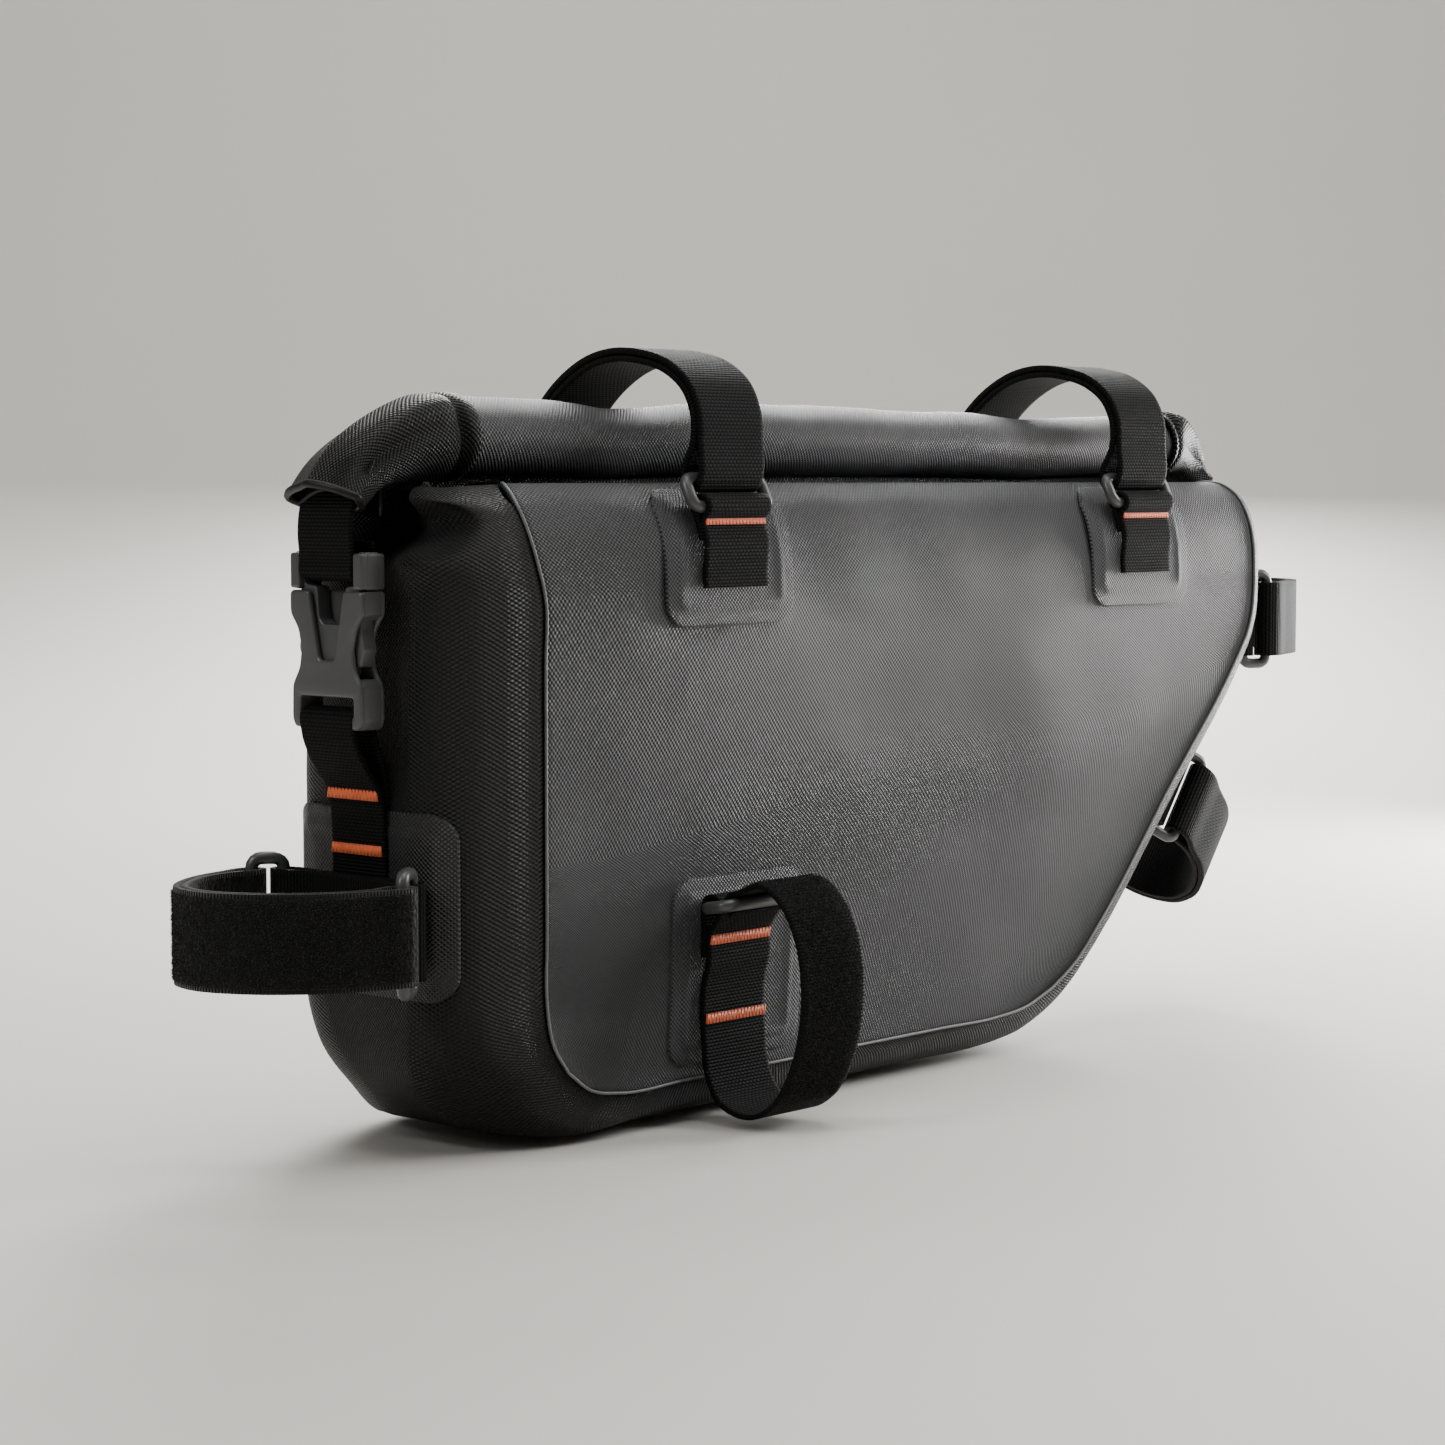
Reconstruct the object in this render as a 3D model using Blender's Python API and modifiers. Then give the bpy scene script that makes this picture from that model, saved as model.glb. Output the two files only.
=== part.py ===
"""Roll-top frame bag for a bicycle: welded shell, rolled collar, buckle and hook-and-loop mounting straps.

Metres, +Z up. Shapes are worked out with X = 0 on the rear end face, and one empty then moves the whole bag
so that the origin is the middle of the flat bottom. The bag's right side, with the side strap, faces -Y.
"""

import math

import bpy
from mathutils import Vector

MM = 0.001

# The body's outline from the side
BODY_LENGTH = 373 * MM
BODY_THICKNESS = 70 * MM
SHOULDER_HEIGHT = 173.5 * MM
SLANT_TOP = SHOULDER_HEIGHT - 51.1 * MM  # height where the slanted edge would meet the front end face
SLANT_ANGLE = math.radians(46.5)
REAR_CORNER = 37 * MM
BOTTOM_CORNER = 80 * MM
FRONT_CORNER = 40 * MM
WALL = 1.2 * MM
GAP = 0.3 * MM  # clearance between pieces that touch

# How far the seams between gusset and side panels lie from the outline, and the edge roundings there
REAR_SEAM = 31 * MM
BOTTOM_SEAM = 10 * MM
FRONT_SEAM = 8 * MM
SEAM_CORNERS = (27 * MM, 70 * MM, 33 * MM)
REAR_ROUND = 18 * MM
REAR_CORNER_ROUND = 25 * MM
BOTTOM_ROUND = 9.5 * MM
FRONT_ROUND = 7.5 * MM
DOME = 2 * MM
DOME_RUN = 44 * MM

# The shoulder, the folded ends and the neck
NECK = 2.5 * MM
LIP = 3.4 * MM
NECK_GAP = 1.5 * MM  # at the neck's ends, under the roll
REAR_NECK_INSET = 46 * MM
FRONT_NECK_INSET = 26 * MM
REAR_FOLD = 17 * MM
FRONT_FOLD = 10 * MM
SHOULDER_START = 0.83  # share of the shoulder height
# height: share of the shoulder height; depth: share of half the thickness, down to the neck
SHOULDER = (
    (0.885, 0.985),
    (0.935, 0.93),
    (0.975, 0.82),
    (0.997, 0.66),
    (1.000, 0.50),
    (0.992, 0.32),
    (0.980, 0.15),
    (0.975, 0.00),
)
# lobe and seam: shares of the neck's inset; round: share of the end's rounding; fold: share of the fold's depth
REAR_END = (
    (0.00, 0.62, 0.94, 0.40),
    (0.02, 0.58, 0.83, 0.80),
    (0.06, 0.57, 0.67, 1.00),
    (0.15, 0.61, 0.50, 0.90),
    (0.28, 0.70, 0.39, 0.65),
    (0.46, 0.83, 0.28, 0.40),
    (0.67, 0.93, 0.12, 0.12),
    (0.83, 1.00, 0.07, 0.00),
)
FRONT_END = (
    (0.00, 0.31, 0.98, 0.40),
    (0.04, 0.33, 0.94, 0.80),
    (0.11, 0.37, 0.85, 1.00),
    (0.23, 0.44, 0.62, 0.90),
    (0.38, 0.55, 0.50, 0.70),
    (0.54, 0.70, 0.42, 0.40),
    (0.69, 0.85, 0.28, 0.12),
    (0.77, 1.00, 0.16, 0.00),
)

# The rolled collar
ROLL_HEIGHT = 24 * MM
ROLL_DEPTH = 32 * MM
ROLL_START = 28 * MM
ROLL_SHEET = 1.6 * MM
ROLL_PITCH = 2.1 * MM
ROLL_TURNS = 2.25
# along: share of the roll's length; swell: share of its section; lift: share of its height
ROLL_STATIONS = (
    (0.00, 1.00, 0.00),
    (0.07, 0.99, 0.00),
    (0.13, 0.97, -0.01),
    (0.19, 0.92, -0.03),
    (0.30, 0.97, 0.00),
    (0.45, 0.98, 0.00),
    (0.60, 0.96, -0.01),
    (0.72, 0.95, -0.02),
    (0.79, 0.91, -0.03),
    (0.90, 0.96, -0.01),
    (1.00, 0.98, 0.00),
)
# out: share of the hood's reach beyond the roll; drop, half width, half thickness: shares of the roll's
# height, depth and height; tilt in degrees below the horizontal
HOOD_REACH = 41 * MM
HOOD = (
    (0.00, 0.00, 0.500, 0.500, 0),
    (0.17, -0.01, 0.495, 0.495, 6),
    (0.57, 0.12, 0.480, 0.420, 26),
    (0.86, 0.40, 0.460, 0.330, 44),
    (1.00, 0.68, 0.450, 0.290, 55),
)
HOOD_WALL = 1.5 * MM
FRONT_HOOD_SHARE = 0.58  # the front hood's reach as a share of the rear one's

# Webbing, rings and mounting straps
WEB = 25 * MM
WEB_THICK = 1.4 * MM
STRAP_THICK = 1.7 * MM
STRAP_SPLIT = 0.5 * MM  # between the two layers of a folded strap
CLOSURE_WEB = 20 * MM
BAR = 1.75 * MM  # radius of a ring's bars
BARS_APART = 8.5 * MM
RING_PLAY = 1 * MM  # beside the webbing
RING_CORNER = 2.6 * MM
BAR_PLAY = 0.5 * MM  # between a bar and the webbing round it
PATCH_WALL = 1.0 * MM
PATCH_CORNER = 7 * MM
CONVERGE = 13 * MM  # how far from a bar the two layers of a strap run together

# The two straps over the top
TOP_STATIONS = {"rear": 101 * MM, "front": 296 * MM}
TOP_PATCH = 52 * MM
TOP_PATCH_LOW = SHOULDER_START * SHOULDER_HEIGHT - PATCH_CORNER - 2.5 * MM
TOP_TAB_LOW = SHOULDER_HEIGHT - 28.5 * MM
TOP_TAB_FOLD = SHOULDER_HEIGHT - 16.5 * MM
TOP_BAR_LOW = (37.6 * MM, SHOULDER_HEIGHT - 6.3 * MM)  # distance from the mid-plane, height
TOP_BAR_HIGH = (33.8 * MM, SHOULDER_HEIGHT + 1.3 * MM)
ARCH_HALF = 36 * MM
ARCH_TOP = SHOULDER_HEIGHT + 35.5 * MM  # of the strap's middle line
# across: share of the arch's half width, right side first; rise: share from the ring's bar to the top
ARCH = (
    (-0.995, 0.30),
    (-0.985, 0.52),
    (-0.890, 0.73),
    (-0.690, 0.89),
    (-0.420, 0.975),
    (-0.140, 1.00),
    (0.130, 0.95),
    (0.370, 0.83),
    (0.580, 0.66),
    (0.750, 0.45),
    (0.860, 0.22),
)

# The three straps at the ends: round the seat tube, the head tube and the down tube
# height of the strap's middle, patch length and width, half distance of the inner bars, reach of the loop,
# degrees that the strap points below forwards, and how far the tab stands off the patch
END_STATIONS = {
    "seat_tube": (59.5 * MM, 49 * MM, 60 * MM, 25 * MM, 53 * MM, 180, WEB_THICK + GAP),
    "head_tube": (SLANT_TOP + 4.6 * MM, 46 * MM, 46 * MM, 22 * MM, 57 * MM, 0, 2.2 * MM),
    "down_tube": (SLANT_TOP - 46.4 * MM, 50 * MM, 46 * MM, 22 * MM, 61 * MM, 37, 1.6 * MM),
}
PATCH_RISE = 5 * MM  # the seat tube patch sits this much above its strap's middle
INNER_BAR_OUT = 5.1 * MM
RING_LEAN = math.radians(32)
# across: share of the outer bars' half distance; out: share of the reach
LOOP = (
    (-0.98, 0.42),
    (-0.88, 0.60),
    (-0.66, 0.77),
    (-0.34, 0.92),
    (0.05, 1.00),
    (0.42, 0.96),
    (0.72, 0.80),
    (0.92, 0.60),
    (0.99, 0.42),
)

# The strap on the right side, low down
SIDE_X = 104 * MM  # the patch's middle
SIDE_STRAP_X = 100 * MM
SIDE_PATCH = 54 * MM
SIDE_PATCH_LOW = 14 * MM
SIDE_PATCH_HIGH = 66 * MM
SIDE_BAR_HEIGHT = 58 * MM
SIDE_BAR_RISE = 1.5 * MM
SIDE_FOLD_LOW = 44 * MM
SIDE_REACH = 36 * MM
SIDE_TOP = 64.5 * MM
# out: share of the side loop's reach from the webbing on the patch; height: share of the loop's top
SIDE_LOOP = (
    (0.00, 0.30),
    (0.03, 0.17),
    (0.14, 0.06),
    (0.32, 0.016),
    (0.52, 0.020),
    (0.72, 0.090),
    (0.88, 0.230),
    (0.98, 0.420),
    (1.00, 0.600),
    (0.94, 0.780),
    (0.80, 0.920),
    (0.60, 0.995),
)

# The closure: buckle of plug and socket, its middle plane's distance out from the rear end face
BUCKLE_OUT = 9 * MM
BUCKLE_TOP = SHOULDER_HEIGHT - 17.5 * MM
BUCKLE_WIDE = 28 * MM
PLUG_THICK = 4.4 * MM
SOCKET_THICK = 8.4 * MM
SOCKET_WALL = 1.6 * MM
POST = 3.7 * MM
BUCKLE_BAR = 3.2 * MM
POST_HIGH = 9.7 * MM
SOCKET_HIGH = 35.5 * MM
CLOSURE_LOW = 54 * MM
FRONT_STRAP_LOW = SLANT_TOP + 21.1 * MM

HALF = BODY_THICKNESS / 2
START = SHOULDER_START * SHOULDER_HEIGHT
SLANT_FOOT = BODY_LENGTH - SLANT_TOP / math.tan(SLANT_ANGLE)
BASE_MIDDLE = (REAR_CORNER + SLANT_FOOT - BOTTOM_CORNER * math.tan(SLANT_ANGLE / 2)) / 2
ROLL_MIDDLE = SHOULDER_HEIGHT + GAP + ROLL_HEIGHT / 2
# The steps along the outline: side panels share the seam's points, so their left, right and top steps match
RUN_STEPS = (6, 6, 2, 1)
ARC_STEPS = (4, 4, 3)
UP_STEPS = 8
ALONG_STEPS = 10

for old in list(bpy.data.objects):
    bpy.data.objects.remove(old)

bag = bpy.data.collections.new("roll_top_frame_bag")
cutters = bpy.data.collections.new("cutters")
cutters.hide_render = True
bpy.context.scene.collection.children.link(bag)
bpy.context.scene.collection.children.link(cutters)

placing = bpy.data.objects.new("placing", None)
placing.location = (-BASE_MIDDLE, 0, 0)
bag.objects.link(placing)

FINISHES = {
    "coated_fabric": ((0.085, 0.09, 0.10), 0.5),
    "gusset_fabric": ((0.018, 0.018, 0.019), 0.55),
    "webbing": ((0.014, 0.014, 0.015), 0.7),
    "plastic": ((0.022, 0.023, 0.025), 0.4),
}


def finish(name, kind):
    """A Principled material of one of the bag's finishes, for one piece."""
    colour, roughness = FINISHES[kind]
    made = bpy.data.materials.new(f"{name}_{kind}")
    made.use_nodes = True
    shader = made.node_tree.nodes["Principled BSDF"]
    shader.inputs["Base Color"].default_value = (*colour, 1)
    shader.inputs["Roughness"].default_value = roughness
    shader.inputs["Metallic"].default_value = 0
    return made


def place(name, data, kind, collection=bag):
    """Links a mesh or curve as a named piece, shaded smooth where it is round."""
    piece = bpy.data.objects.new(name, data)
    collection.objects.link(piece)
    piece.parent = placing
    if kind:
        data.materials.append(finish(name, kind))
    if isinstance(data, bpy.types.Mesh):
        data.shade_smooth()
        data.set_sharp_from_angle(angle=math.radians(50))
    return piece


def sheet(name, rows, kind, thick, side=-1, flip=False, closed=False, even=True):
    """A loft through rows of points, given a wall by Solidify: side -1 grows inwards, 0 both ways, 1 outwards."""
    across = len(rows[0])
    points = [point for row in rows for point in row]
    faces = []
    last = len(rows) if closed else len(rows) - 1
    for i in range(last):
        for j in range(across - 1):
            low = i * across + j
            high = (i + 1) % len(rows) * across + j
            face = (low, low + 1, high + 1, high)
            faces.append(face[::-1] if flip else face)
    mesh = bpy.data.meshes.new(name)
    mesh.from_pydata(points, [], faces)
    piece = place(name, mesh, kind)
    wall = piece.modifiers.new("wall", "SOLIDIFY")
    wall.thickness = thick
    wall.offset = side
    wall.use_even_offset = even
    return piece


def smooth(share):
    """0 to 1 with a level start and end."""
    share = min(max(share, 0), 1)
    return share * share * (3 - 2 * share)


def between(values, position):
    """The value at a fractional place in a list."""
    low = min(int(position), len(values) - 2)
    return values[low] + (values[low + 1] - values[low]) * (position - low)


# The outline and the surfaces of the body


def rounded_path(corners, radii):
    """Points and run positions along a polyline in X-Z whose inner corners are rounded."""
    path = [(corners[0], 0.0)]
    for turn, (before, corner, after) in enumerate(zip(corners, corners[1:], corners[2:])):
        to_before = (before - corner).normalized()
        to_after = (after - corner).normalized()
        half_angle = to_before.angle(to_after) / 2
        reach = radii[turn] / math.tan(half_angle)
        centre = corner + (to_before + to_after).normalized() * radii[turn] / math.sin(half_angle)
        start = corner + to_before * reach
        end = corner + to_after * reach
        last = path[-1][0]
        for step in range(1, RUN_STEPS[turn] + 1):
            path.append((last.lerp(start, step / RUN_STEPS[turn]), float(turn)))
        for step in range(1, ARC_STEPS[turn] + 1):
            share = step / ARC_STEPS[turn]
            path.append((centre + (start - centre).slerp(end - centre, share) * radii[turn], turn + share))
    last = path[-1][0]
    for step in range(1, RUN_STEPS[-1] + 1):
        path.append((last.lerp(corners[-1], step / RUN_STEPS[-1]), float(len(radii))))
    return path


def outline(rear, bottom, slant, front, radii):
    """The body's outline in X-Z, moved inwards by an inset on each of its four runs."""
    x_front = BODY_LENGTH - front
    foot = SLANT_FOOT - slant / math.sin(SLANT_ANGLE)
    x_bottom = foot + bottom / math.tan(SLANT_ANGLE)
    z_front = (x_front - foot) * math.tan(SLANT_ANGLE)
    corners = [(rear, START), (rear, bottom), (x_bottom, bottom), (x_front, z_front), (x_front, START)]
    return rounded_path([Vector(corner) for corner in corners], radii)


OUTER = outline(0, 0, 0, 0, (REAR_CORNER, BOTTOM_CORNER, FRONT_CORNER))
SEAM = outline(REAR_SEAM, BOTTOM_SEAM, FRONT_SEAM, FRONT_SEAM, SEAM_CORNERS)


def shoulder_depth(height):
    """Half the body's thickness at a height, over the shoulder up to its crest."""
    rows = [(SHOULDER_START, 1.0), *SHOULDER[:5]]
    for (low, low_depth), (high, high_depth) in zip(rows, rows[1:]):
        if height <= high * SHOULDER_HEIGHT:
            share = (height / SHOULDER_HEIGHT - low) / (high - low)
            return HALF * (low_depth + (high_depth - low_depth) * max(share, 0))
    return HALF * rows[-1][1]


def dome(x, z):
    """How far a side panel swells beyond flat, falling to nothing at its seams."""
    slant_in = (z - (x - SLANT_FOOT) * math.tan(SLANT_ANGLE)) * math.cos(SLANT_ANGLE) - FRONT_SEAM
    rises = (x - REAR_SEAM, z - BOTTOM_SEAM, BODY_LENGTH - FRONT_SEAM - x, slant_in)
    return DOME * math.prod(smooth(rise / DOME_RUN) for rise in rises)


def side_depth(x, z):
    """A side panel's distance from the mid-plane."""
    depth = shoulder_depth(z)
    return depth + dome(x, z) * depth / HALF


def side_point(x, z, lift, side):
    """A point lifted off a side panel's surface along its normal; side is -1 for right, 1 for left."""
    step = 0.5 * MM
    slope_x = (side_depth(x + step, z) - side_depth(x - step, z)) / (2 * step)
    slope_z = (side_depth(x, z + step) - side_depth(x, z - step)) / (2 * step)
    normal = Vector((-slope_x, 1, -slope_z)).normalized() * lift
    return Vector((x + normal.x, side * (side_depth(x, z) + normal.y), z + normal.z))


def gusset_section(outer, seam, half_width, rounding, fold):
    """Points across the gusset from the right seam round the edge, over the end or bottom, to the left seam."""
    inward = (seam - outer).normalized()
    reach = (seam - outer).length
    rounding = min(rounding, 0.95 * reach)
    flat = half_width - rounding
    half = [(reach, half_width)]
    for degrees in (0, 30, 60, 90):
        turn = math.radians(degrees)
        half.append((rounding * (1 - math.sin(turn)), flat + rounding * math.cos(turn)))
    for share in (0.66, 0.33):
        half.append((fold * smooth(1 - share), flat * share))
    middle = [(fold, 0.0)]
    full = [(inset, -y) for inset, y in half] + middle + [(inset, y) for inset, y in half[::-1]]
    return [Vector((outer.x + inward.x * inset, y, outer.y + inward.y * inset)) for inset, y in full]


def end_rows(table, neck_inset, rounding, fold_depth, at_front):
    """The gusset's sections over one shoulder end, from the shoulder's start to the neck and its lip."""
    sections = []
    for (height, depth), (lobe, seam, rounds, fold) in zip(SHOULDER, table):
        z = height * SHOULDER_HEIGHT
        ends = [lobe * neck_inset, seam * neck_inset]
        if at_front:
            ends = [BODY_LENGTH - end for end in ends]
        outer, inner = (Vector((end, z)) for end in ends)
        width = max(depth * HALF, NECK)
        sections.append(gusset_section(outer, inner, width, rounds * rounding, fold * fold_depth))
    sections.append([point + Vector((0, 0, LIP)) for point in sections[-1]])
    return sections


def make_gusset():
    """The dark band round the rear end, the bottom, the slanted edge and the front end."""
    rounds = (REAR_ROUND, REAR_CORNER_ROUND, BOTTOM_ROUND, BOTTOM_ROUND, FRONT_ROUND, FRONT_ROUND, FRONT_ROUND)
    rows = end_rows(REAR_END, REAR_NECK_INSET, REAR_ROUND, REAR_FOLD, False)[::-1]
    for (outer, position), (seam, _) in zip(OUTER, SEAM):
        rows.append(gusset_section(outer, seam, HALF, between(rounds, 2 * position), 0))
    rows += end_rows(FRONT_END, FRONT_NECK_INSET, FRONT_ROUND, FRONT_FOLD, True)
    sheet("gusset", rows, "gusset_fabric", WALL, even=False)


def seam_edge(index):
    """A seam point moved inwards by the gap between gusset and panel."""
    outer, seam = OUTER[index][0], SEAM[index][0]
    return seam + (seam - outer).normalized() * GAP


def make_panel(name, side):
    """One side panel: a patch between its seams, then the shoulder's rows up to the neck and its lip."""
    corner = RUN_STEPS[0] + ARC_STEPS[0] // 2
    left = [seam_edge(corner - i) for i in range(UP_STEPS + 1)]
    bottom = [seam_edge(corner + i) for i in range(ALONG_STEPS + 1)]
    right = [seam_edge(corner + ALONG_STEPS + i) for i in range(UP_STEPS + 1)]
    top = [left[-1].lerp(right[-1], i / ALONG_STEPS) for i in range(ALONG_STEPS + 1)]
    rows = []
    for i in range(UP_STEPS + 1):
        v = i / UP_STEPS
        row = []
        for j in range(ALONG_STEPS + 1):
            u = j / ALONG_STEPS
            flat = bottom[j].lerp(top[j], v) + left[i].lerp(right[i], u)
            flat -= bottom[0].lerp(bottom[-1], u).lerp(top[0].lerp(top[-1], u), v)
            row.append(Vector((flat.x, side * side_depth(flat.x, flat.y), flat.y)))
        rows.append(row)
    for (height, depth), rear, front in zip(SHOULDER, REAR_END, FRONT_END):
        z = height * SHOULDER_HEIGHT
        width = max(depth * HALF, NECK)
        clear = GAP if width > 3 * NECK else NECK_GAP
        x_rear = rear[1] * REAR_NECK_INSET + clear
        x_front = BODY_LENGTH - front[1] * FRONT_NECK_INSET - clear
        row = []
        for j in range(ALONG_STEPS + 1):
            x = x_rear + (x_front - x_rear) * j / ALONG_STEPS
            row.append(Vector((x, side * (width + dome(x, z) * depth), z)))
        rows.append(row)
    rows.append([point + Vector((0, 0, LIP)) for point in rows[-1]])
    sheet(name, rows, "coated_fabric", WALL, flip=side > 0)


# The rolled collar and its folded ends


def roll_path(swell, lift, foot):
    """The roll's section in Y-Z: up from its foot between the lips, then round and inwards."""
    half_high = (ROLL_HEIGHT - ROLL_SHEET) / 2 * swell
    half_deep = (ROLL_DEPTH - ROLL_SHEET) / 2 * swell
    middle = ROLL_MIDDLE + lift * ROLL_HEIGHT - (1 - swell) * ROLL_HEIGHT / 2
    path = [(0.0, foot)]
    steps = round(ROLL_TURNS * 12)
    for step in range(steps + 1):
        turn = 2 * math.pi * step / 12
        shrink = ROLL_PITCH * step / 12
        path.append(((half_deep - shrink) * math.sin(turn), middle - (half_high - shrink) * math.cos(turn)))
    return path


def make_roll():
    """The collar of both panels, rolled down over more than two turns."""
    end = BODY_LENGTH - FRONT_NECK_INSET
    rows = []
    for along, swell, lift in ROLL_STATIONS:
        x = ROLL_START + along * (end - ROLL_START)
        between_lips = REAR_NECK_INSET + 3 * NECK_GAP < x < end
        foot = SHOULDER[-1][0] * SHOULDER_HEIGHT if between_lips else SHOULDER_HEIGHT - GAP
        rows.append([Vector((x, y, z)) for y, z in roll_path(swell, lift, foot)])
    sheet("roll", rows, "coated_fabric", ROLL_SHEET, side=0)


def make_hood(name, x_start, direction, reach):
    """The end of the roll, flattened and folded down over the end of the bag as an open hood."""
    columns = []
    for step in range(12):
        turn = 2 * math.pi * step / 12
        column = []
        for out, drop, wide, high, degrees in HOOD:
            tilt = -direction * math.radians(degrees)
            up = high * ROLL_HEIGHT * math.cos(turn)
            fall = drop * ROLL_HEIGHT * (0.4 + 0.6 * reach / HOOD_REACH)
            x = x_start + direction * (GAP + out * reach) - up * math.sin(tilt)
            y = wide * ROLL_DEPTH * math.sin(turn)
            column.append(Vector((x, y, ROLL_MIDDLE - fall + up * math.cos(tilt))))
        columns.append(column)
    sheet(name, columns, "gusset_fabric", HOOD_WALL, flip=direction < 0, closed=True)


# Webbing, rings and patches


def ribbon(name, path, across, width, thick, closed=False):
    """A strip of webbing of one width along a path of points."""
    edge = across.normalized() * width / 2
    rows = [[point - edge, point + edge] for point in path]
    return sheet(name, rows, "webbing", thick, side=0, closed=closed)


def folded_strap(line, bar_reach):
    """A closed path of two layers along a line between two bars, wrapped round each bar."""
    count = len(line)
    lengths = [0.0]
    for before, after in zip(line, line[1:]):
        lengths.append(lengths[-1] + (after - before).length)
    layers = (STRAP_THICK + STRAP_SPLIT) / 2
    first, second = [], []
    for i, point in enumerate(line):
        along = (line[min(i + 1, count - 1)] - line[max(i - 1, 0)]).normalized()
        normal = Vector((-along.y, along.x))
        from_bar = min(lengths[i], lengths[-1] - lengths[i])
        apart = layers + (bar_reach - layers) * (1 - smooth(from_bar / CONVERGE))
        first.append(point + normal * apart)
        second.append(point - normal * apart)
    path = first + wrap(line[-1], first[-1], second[-1]) + second[::-1] + wrap(line[0], second[0], first[0])
    return path


def wrap(centre, start, end):
    """Three points of a half turn round a bar, away from the strap."""
    radius = (start - centre).length
    from_start = (start - centre).normalized()
    outward = Vector((from_start.y, -from_start.x))
    turns = (math.radians(45), math.radians(90), math.radians(135))
    return [centre + (from_start * math.cos(turn) + outward * math.sin(turn)) * radius for turn in turns]


def ring_frame(name, middle, along, across, web):
    """A moulded loop: two bars square to the webbing, joined by its sides with rounded corners."""
    half_along = BARS_APART / 2
    half_across = web / 2 + RING_PLAY + BAR
    points = []
    for corner in range(4):
        sign_a = (1, -1, -1, 1)[corner]
        sign_b = (1, 1, -1, -1)[corner]
        for degrees in (0, 45, 90):
            turn = math.radians(degrees + 90 * corner)
            a = sign_a * (half_along - RING_CORNER) + RING_CORNER * math.cos(turn)
            b = sign_b * (half_across - RING_CORNER) + RING_CORNER * math.sin(turn)
            points.append(middle + along.normalized() * a + across.normalized() * b)
    curve = bpy.data.curves.new(name, "CURVE")
    curve.dimensions = "3D"
    curve.bevel_depth = BAR
    curve.bevel_resolution = 1
    spline = curve.splines.new("POLY")
    spline.points.add(len(points) - 1)
    for point, place_at in zip(spline.points, points):
        point.co = (*place_at, 1)
    spline.use_cyclic_u = True
    place(name, curve, "plastic")


def rounded_grid(columns, rows, corner, soft_top=True):
    """Pairs of a grid whose corner points are drawn in, so that the patch's corners read as round."""
    grid = []
    draw_in = 0.29 * corner
    for i, v in enumerate(rows):
        row = []
        for j, u in enumerate(columns):
            on_corner = j in (0, len(columns) - 1) and (i == 0 or (soft_top and i == len(rows) - 1))
            if on_corner:
                row.append((u + (draw_in if j == 0 else -draw_in), v + (draw_in if i == 0 else -draw_in)))
            else:
                row.append((u, v))
        grid.append(row)
    return grid


def side_patch(name, x_middle, width, heights, side, soft_top):
    """A welded patch lying on a side panel."""
    half = width / 2
    columns = [x_middle + x for x in (-half, PATCH_CORNER - half, 0, half - PATCH_CORNER, half)]
    grid = rounded_grid(columns, heights, PATCH_CORNER, soft_top)
    rows = [[side_point(x, z, GAP, side) for x, z in row] for row in grid]
    sheet(name, rows, "coated_fabric", PATCH_WALL, side=1, flip=side > 0)


BAR_WRAP = BAR + BAR_PLAY + WEB_THICK / 2
STRAP_WRAP = BAR + BAR_PLAY + STRAP_THICK / 2


def web_lift(layer=0):
    """How far webbing on a patch lies off the panel: layer 0 on the patch, 1 on another layer."""
    return GAP + PATCH_WALL + GAP + WEB_THICK / 2 + layer * (WEB_THICK + GAP)


def bar_arc(centre, start_degrees, end_degrees, radius, steps=4):
    """Points round a bar in Y-Z, degrees from +Y towards +Z."""
    arc = []
    for step in range(steps + 1):
        turn = math.radians(start_degrees + (end_degrees - start_degrees) * step / steps)
        arc.append(Vector((centre[0] + radius * math.cos(turn), centre[1] + radius * math.sin(turn))))
    return arc


def make_top_tab(name, x, side):
    """Webbing sewn up the patch, over the ring's lower bar and back down behind itself."""
    front = []
    for z in (TOP_TAB_LOW, 0.5 * (TOP_TAB_LOW + TOP_TAB_FOLD) - 2 * MM, TOP_TAB_FOLD, TOP_TAB_FOLD + 5 * MM):
        layer = 1 if z >= TOP_TAB_FOLD else 0
        front.append(side_point(x, z, web_lift(layer), -1))
    out, height = TOP_BAR_LOW
    turn = [Vector((x, point.x, point.y)) for point in bar_arc((-out, height), 180, 0, BAR_WRAP)]
    back = []
    for z in (TOP_TAB_FOLD + 6.4 * MM, TOP_TAB_FOLD + 4.2 * MM, TOP_TAB_FOLD + 0.6 * MM):
        back.append(side_point(x, z, web_lift(), -1))
    path = [Vector((point.x, -side * point.y, point.z)) for point in front + turn + back]
    ribbon(name, path, Vector((1, 0, 0)), WEB, WEB_THICK)


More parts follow.
